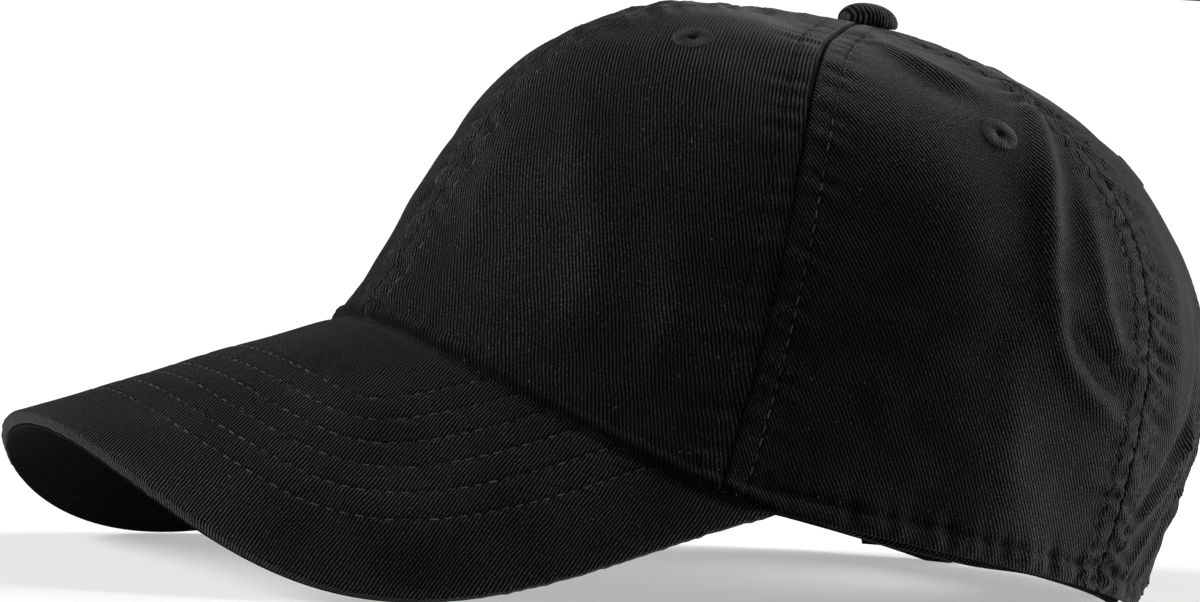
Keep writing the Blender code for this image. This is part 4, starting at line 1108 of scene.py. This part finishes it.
def makeBinding():
    start = math.asin(lining["bindingFoot"] / crownShape["archHeight"])
    turn = np.linspace(start, pi - start, 150)
    band = np.linspace(0.0, 1.0, 15)[:, None]
    half = np.radians(crownShape["archHalf"] + 0.3 + band * lining["bindingAngle"])
    angle = pi - half * np.cos(turn)
    length = (crownShape["archHeight"] + band * lining["bindingRise"]) * np.sin(turn)
    t = tAtLength(angle, length)
    lift = 0.12 * mm * bell(np.abs(band * 2 - 1) - 0.75, 0.15)
    lift = lift + 0.08 * mm * wander(turn * 40 * mm, 61, 4 * mm, 12 * mm)
    outer = layer(angle, t, lining["depth"] + 0 * t)
    inner = layer(angle, t, lining["depth"] + lining["tapeThick"] + lift)
    grain = np.stack((turn * 45.0 + 0 * t, band * 8.0 + 0 * t), -1)
    piece = sheet("arch_binding", inner, outer, bandTwill, grain, 0 * t, (0.6,) * 4, 3)
    place(piece, "cap", "lining_cotton", "rear_opening_binding")


def bandLayer(angle, t, inset, extra):
    # behind, the band draws in to leave the strap its room
    points = layer(angle, t, inset)
    out = points[..., :2] - (0.0, buttonAxis.y)
    reach = np.linalg.norm(out, axis=-1)
    room = strapShape["radius"] - strapShape["thick"] - sweatband["strapRoom"] - extra
    behind = smoothStep(np.abs(angle), *np.radians(sweatband["strapFrom"]))
    wanted = reach + behind * (np.minimum(reach, room) - reach)
    points[..., :2] = (0.0, buttonAxis.y) + out * (wanted / reach)[..., None]
    return points


def makeSweatband():
    b = sweatband
    end = math.radians(b["end"])
    angle = np.linspace(-end, end, 520)
    height = np.linspace(0.0, 1.0, 40)[:, None]
    t = tAtLength(angle, height * b["height"])
    around = angle * clothRelief["hemRadius"]
    crease = wander(around + height * 9 * mm, 611, 9 * mm, 30 * mm) * b["crease"] * np.sin(pi * height) ** 0.5
    roll = 0.25 * mm * bell(height, 0.07) + 0.2 * mm * bell(height - 1, 0.07)
    roll = roll - 0.22 * mm * bell(height - b["rows"][0], 0.03)
    relaxed = np.maximum(crease + roll, -0.3 * mm)
    outer = bandLayer(angle, t, b["inset"] + 0 * t, 0.0)
    inner = bandLayer(angle, t, b["inset"] + 0 * t + b["thick"] + relaxed, b["thick"] + relaxed)
    turn = np.abs(angle)
    side = smoothStep(turn, *np.radians(b["showsFrom"])) * (1 - smoothStep(turn, *np.radians(b["showsTo"])))
    for face in (outer, inner):
        drop = face[0, :, 2] - (hemHeight(angle) + 0.45 * mm - b["shows"] * side)
        face[:6, :, 2] -= drop * (1 - np.arange(6)[:, None] / 6) ** 1.5
    grain = np.stack((around / mm + 0 * t, height * b["height"] / mm + 0 * t), -1)
    wearAndShade = 0.9 * bell(height, 0.08) + 0.3 * bell(height - 1, 0.08) + 0 * t
    piece = sheet("cloth_sweatband", inner[:, ::-1], outer[:, ::-1], bandTwill, grain[:, ::-1], wearAndShade[:, ::-1],
                  (0.7, 0.6, 0.7, 0.6))
    place(piece, "cap", "lining_cotton", "sweatband")
    rows = []
    for k, share in enumerate(b["rows"]):
        points = inner[int(share * 39), 6:-6]
        inside = unit(np.array((0.0, buttonAxis.y, 0.0)) - points) * (1, 1, 0)
        rows.append(stitchRow(points + inside * 0.05 * mm, unit(inside), 620 + k))
    joinRows("sweatband_stitching", rows, sewing, "cap", "embroidery_thread")


def makeLabel():
    angle = -np.radians(np.linspace(*careLabel["angles"], 30))[::-1]
    length = np.linspace(*careLabel["lengths"], 30)[:, None]
    t = tAtLength(angle, length)
    share = np.linspace(0, 1, 30)
    curl = careLabel["curl"] * bell(share[:, None], 0.3) * (1 + 0.4 * np.cos(6 * share))
    outer = layer(angle, t, lining["depth"] + 0 * t)
    inner = layer(angle, t, lining["depth"] + careLabel["thick"] + curl)
    grain = np.stack((angle * 75.0 + 0 * t, length / mm + 0 * t), -1)
    piece = sheet("blank_label", inner[:, ::-1], outer[:, ::-1], labelRibbon, grain[:, ::-1], 0 * t,
                  (0.6,) * 4, 3)
    place(piece, "cap", "label", "care_label")


# Woven satin ribbon: a smooth off-white face whose fine weft lines catch the light.
labelRibbon = twill("woven_satin_ribbon", {**twillFinish, "ribAngle": 0.0, "pitch": 0.4, "floatLength": 8.0,
                                           "valley": "#9a9a94", "rib": "#deded8", "lint": "#efefea",
                                           "bump": 0.25, "specular": 0.4, "sheen": 0.3})
makeTapes()
makeBinding()
makeSweatband()
makeLabel()
print("lining made")


buckle = {"angle": 22.0, "front": 3.6 * mm, "bar": 1.6 * mm, "halfX": 8.5 * mm,
          "tabThick": 0.7 * mm, "tabTail": (38.5, 31.5), "tabLoop": (330.0, 60.0), "tabNarrower": 1.0 * mm}


def aroundAxis(angle, radius, height):
    turn = np.radians(angle)
    x, y, z = np.broadcast_arrays(radius * np.sin(turn), buttonAxis.y + radius * np.cos(turn), height)
    return np.stack((x, y, z), axis=-1)


def makeStrap():
    s = strapShape
    along = np.linspace(0.0, 1.0, 330)
    angle = s["sewn"] + (s["free"] - s["sewn"]) * along
    share = np.linspace(-1.0, 1.0, 25)[:, None]
    # the free end is cut to a blunt point
    fromEnd = np.radians(s["free"] - angle) * s["radius"]
    half = s["width"] / 2 - s["blunt"] * (1 - smoothStep(fromEnd, 0.0, 7 * mm)) ** 2
    height = s["bottom"] + s["width"] / 2 + share * half
    run = np.radians(angle) * s["radius"]
    fromEdge = (1 - np.abs(share)) * half
    fromRow = fromEdge - s["edgeRow"]
    puff = s["puff"] * wander(run + share * 2 * mm, 701, *s["puffSizes"]) * bell(fromRow, 3 * mm)
    lift = puff - 0.18 * mm * bell(fromRow, 0.7 * mm)
    lift = np.minimum(lift, 0.12 * mm)
    outer = aroundAxis(angle, s["radius"] + lift, height)
    inner = aroundAxis(angle, s["radius"] - s["thick"] + 0 * lift, height)
    grain = np.stack((run / mm + 0 * height, height / mm), -1)
    wearAndShade = 0.9 * bell(fromEdge, 1.0 * mm) + 0 * height
    piece = sheet("cloth_strap", outer[:, ::-1], inner[:, ::-1], strapTwill, grain[:, ::-1], wearAndShade[:, ::-1],
                  (0.5,) * 4)
    place(piece, "strap", "cotton_twill", "strap")

    def sewn(points, seed):
        return stitchRow(points, unit((points - np.array(buttonAxis)) * (1, 1, 0)), seed, stitch["inside"])

    rows = []
    for k, sign in enumerate((-1, 1)):
        z = (s["bottom"] + s["width"] / 2 + sign * (half - s["edgeRow"]))[8:-10]
        rows.append(sewn(aroundAxis(angle[8:-10], s["radius"] - 0.12 * mm, z), 710 + k))
    z = s["bottom"] + s["width"] / 2 + np.linspace(-1, 1, 40) * (s["width"] / 2 - 4.8 * mm)
    rows.append(sewn(aroundAxis(np.full(40, s["free"] - 2.4), s["radius"] - 0.10 * mm, z), 715))
    joinRows("strap_stitching", rows, sewing, "strap", "embroidery_thread")


def buckleMatrix():
    middle = strapShape["radius"] - strapShape["thick"] / 2
    spot = aroundAxis(buckle["angle"], middle, strapShape["bottom"] + strapShape["width"] / 2)
    return Matrix.Translation(Vector(spot)) @ Matrix.Rotation(-math.radians(buckle["angle"]), 4, "Z")


def makeTab():
    matrix = buckleMatrix()
    barX, barY = buckle["halfX"] - buckle["bar"] / 2, buckle["front"] - buckle["bar"] / 2
    loop = buckle["bar"] / 2 * 1.42 + 0.3 * mm
    turns = np.radians(np.linspace(*buckle["tabLoop"], 40))
    tail = np.linspace(*buckle["tabTail"], 26)
    halfZ = strapShape["width"] / 2 - buckle["tabNarrower"]
    middleZ = strapShape["bottom"] + strapShape["width"] / 2
    innerR = strapShape["radius"] + 0.7 * mm
    sheets = []
    for radius, tailR in ((loop + buckle["tabThick"], innerR), (loop, innerR + buckle["tabThick"])):
        back = aroundAxis(tail, tailR, middleZ)
        ring = [Vector((barX + radius * math.cos(a), barY + radius * math.sin(a), 0.0)) for a in turns]
        curl = np.array([tuple(matrix @ spot) for spot in ring])
        path = np.concatenate((back, curl))
        # ease the corner between tail and loop
        for _ in range(5):
            path[1:-1] = (path[:-2] + 2 * path[1:-1] + path[2:]) / 4
        sheets.append(path)
    z = np.linspace(-halfZ, halfZ, 17)
    one, two = (path[None] + np.stack((0 * z, 0 * z, z), -1)[:, None] for path in sheets)
    run = np.cumsum(np.linalg.norm(np.diff(sheets[0], axis=0, prepend=sheets[0][:1]), axis=1)) / mm
    grain = np.stack((run[None] + 0 * z[:, None], z[:, None] / mm + 0 * run[None]), -1)
    wearAndShade = 0.7 * bell(halfZ - np.abs(z)[:, None], 0.9 * mm) + 0 * run[None]
    piece = sheet("cloth_strap_tab", one, two, strapTwill, grain, wearAndShade, (0.6,) * 4, 3)
    place(piece, "cap", "cotton_twill", "strap_tab")


def metal(name, colours, roughness, scratch):
    made, tree, shader = newFinish(name)
    spot = spotOf(tree)
    patches = noise(tree, spot, 420.0, 5.0, 0.62).outputs["Fac"]
    cover = remap(tree, patches, 0.38, 0.66)
    drawn = addNode(tree, "ShaderNodeMapping", {}, {"Vector": spot, "Scale": (900.0, 900.0, 14000.0)})
    lines = noise(tree, drawn.outputs["Vector"], 1.0, 3.0).outputs["Fac"]
    fill(tree, shader, {
        "Base Color": blend(tree, cover, hexColour(colours[0]), hexColour(colours[1])),
        "Roughness": remap(tree, patches, 0.3, 0.7, roughness[1], roughness[0]),
        "Normal": relief(tree, lines, scratch, 0.03 * mm),
        "Metallic": 1.0,
    })
    return made


def extruded(name, colours, grit):
    made, tree, shader = newFinish(name)
    grain = noise(tree, spotOf(tree), 1.0 / grit, 3.0).outputs["Fac"]
    fill(tree, shader, {
        "Base Color": blend(tree, grain, hexColour(colours[0]), hexColour(colours[1])),
        "Normal": relief(tree, grain, 0.3, 0.1 * mm),
        "Roughness": 0.5, "IOR": 1.5,
    })
    return made


# Die-cast zinc plated in antique brass: warm rubbed faces, brown patina, faint brushing.
antiqueBrass = metal("antique_brass_plated_zinc", ("#4a3a24", "#85704a"), (0.30, 0.55), 0.35)
# Bright nickel on stamped steel: pale, slightly cloudy, with fine drawing lines.
nickelSteel = metal("nickel_plated_steel", ("#8c8c8a", "#c9c8c4"), (0.22, 0.4), 0.25)
# Polyethylene board cut from extruded sheet: waxy grey with a fine pebble.
visorBoard = extruded("extruded_polyethylene_board", ("#1c1c1d", "#2a2a2b"), 0.6 * mm)
for node, finish, width in (
    ("buckle_frame", antiqueBrass, 0.38 * mm),
    ("buckle_clasp", antiqueBrass, 0.28 * mm),
    ("buckle_hinge_pin", nickelSteel, 0.12 * mm),
    ("button_shell", nickelSteel, 0.25 * mm),
    ("button_back_plate", nickelSteel, 0.2 * mm),
    ("visor_board", visorBoard, 0.3 * mm),
):
    part = frame["nodes"][node]
    part.data.materials.clear()
    part.data.materials.append(finish)
    weld = part.modifiers.new("joined", "WELD")
    weld.merge_threshold = 0.005 * mm
    soften = part.modifiers.new("softened_edges", "BEVEL")
    soften.width, soften.segments, soften.angle_limit = width, 3, math.radians(38)

makeStrap()
makeTab()
print("strap and buckle made")


studio = {"floor": "#a8a8a7", "glow": 0.42, "floorHalf": 14.0, "sky": "#ffffff", "skyStrength": 0.05}
cameraView = {"azimuth": 64.85, "elevation": 3.20, "roll": 3.64, "distance": 1.7094, "lens": 215.46,
              "aim": (-14.5 * mm, 1.7 * mm, 63.8 * mm)}
lights = (
    # name, azimuth, elevation, strength, softness in degrees
    ("front_softbox", -16.0, 27.0, 6.2, 30.0),
    ("rear_softbox", 181.0, 13.0, 11.5, 44.0),
)


def fromAngles(azimuth, elevation):
    a, e = math.radians(azimuth), math.radians(elevation)
    return Vector((math.sin(a) * math.cos(e), -math.cos(a) * math.cos(e), math.sin(e)))


def makeStudio():
    size = studio["floorHalf"]
    steps = np.linspace(-size, size, 15)
    x, y = np.meshgrid(steps, steps, indexing="ij")
    points = np.stack((x, y, 0 * x - 0.05 * mm), -1).reshape(-1, 3)
    index = np.arange(225).reshape(15, 15)
    quads = np.stack((index[:-1, :-1], index[1:, :-1], index[1:, 1:], index[:-1, 1:]), -1).reshape(-1, 4)
    # Opal acrylic lit from below: a matt white table without a horizon, with soft grey shadows.
    table, tree, shader = newFinish("lit_white_acrylic_table")
    fill(tree, shader, {
        "Base Color": hexColour(studio["floor"]), "Roughness": 0.95, "Specular IOR Level": 0.1,
        "Emission Color": hexColour(studio["sky"]), "Emission Strength": studio["glow"],
    })
    meshFrom("floor", points, quads, table)
    world = bpy.data.worlds.new("pale_studio")
    bpy.context.scene.world = world
    world.use_nodes = True
    sky = world.node_tree.nodes["Background"]
    sky.inputs["Color"].default_value = hexColour(studio["sky"])
    sky.inputs["Strength"].default_value = studio["skyStrength"]
    for name, azimuth, elevation, strength, softness in lights:
        lamp = bpy.data.lights.new(name, "SUN")
        lamp.energy, lamp.angle = strength, math.radians(softness)
        holder = bpy.data.objects.new(name, lamp)
        way = fromAngles(azimuth, elevation)
        holder.location = way * 2.0
        holder.rotation_euler = (-way).to_track_quat("-Z", "Y").to_euler()
        bpy.context.scene.collection.objects.link(holder)


def makeCamera():
    v = cameraView
    back = fromAngles(v["azimuth"], v["elevation"])
    right = Vector((math.cos(math.radians(v["azimuth"])), math.sin(math.radians(v["azimuth"])), 0.0))
    up = back.cross(right)
    roll = math.radians(v["roll"])
    across = right * math.cos(roll) + up * math.sin(roll)
    upward = up * math.cos(roll) - right * math.sin(roll)
    spot = Vector(v["aim"]) + back * v["distance"]
    turned = Matrix((across, upward, back)).transposed().to_4x4()
    camera = bpy.data.cameras.new("studio_camera")
    camera.lens, camera.sensor_width = v["lens"], 36.0
    camera.clip_start, camera.clip_end = 0.1, 60.0
    holder = bpy.data.objects.new("studio_camera", camera)
    holder.matrix_world = Matrix.Translation(spot) @ turned
    bpy.context.scene.collection.objects.link(holder)
    bpy.context.scene.camera = holder


makeStudio()
makeCamera()
bpy.context.scene.view_settings.view_transform = "Standard"
print("studio ready")
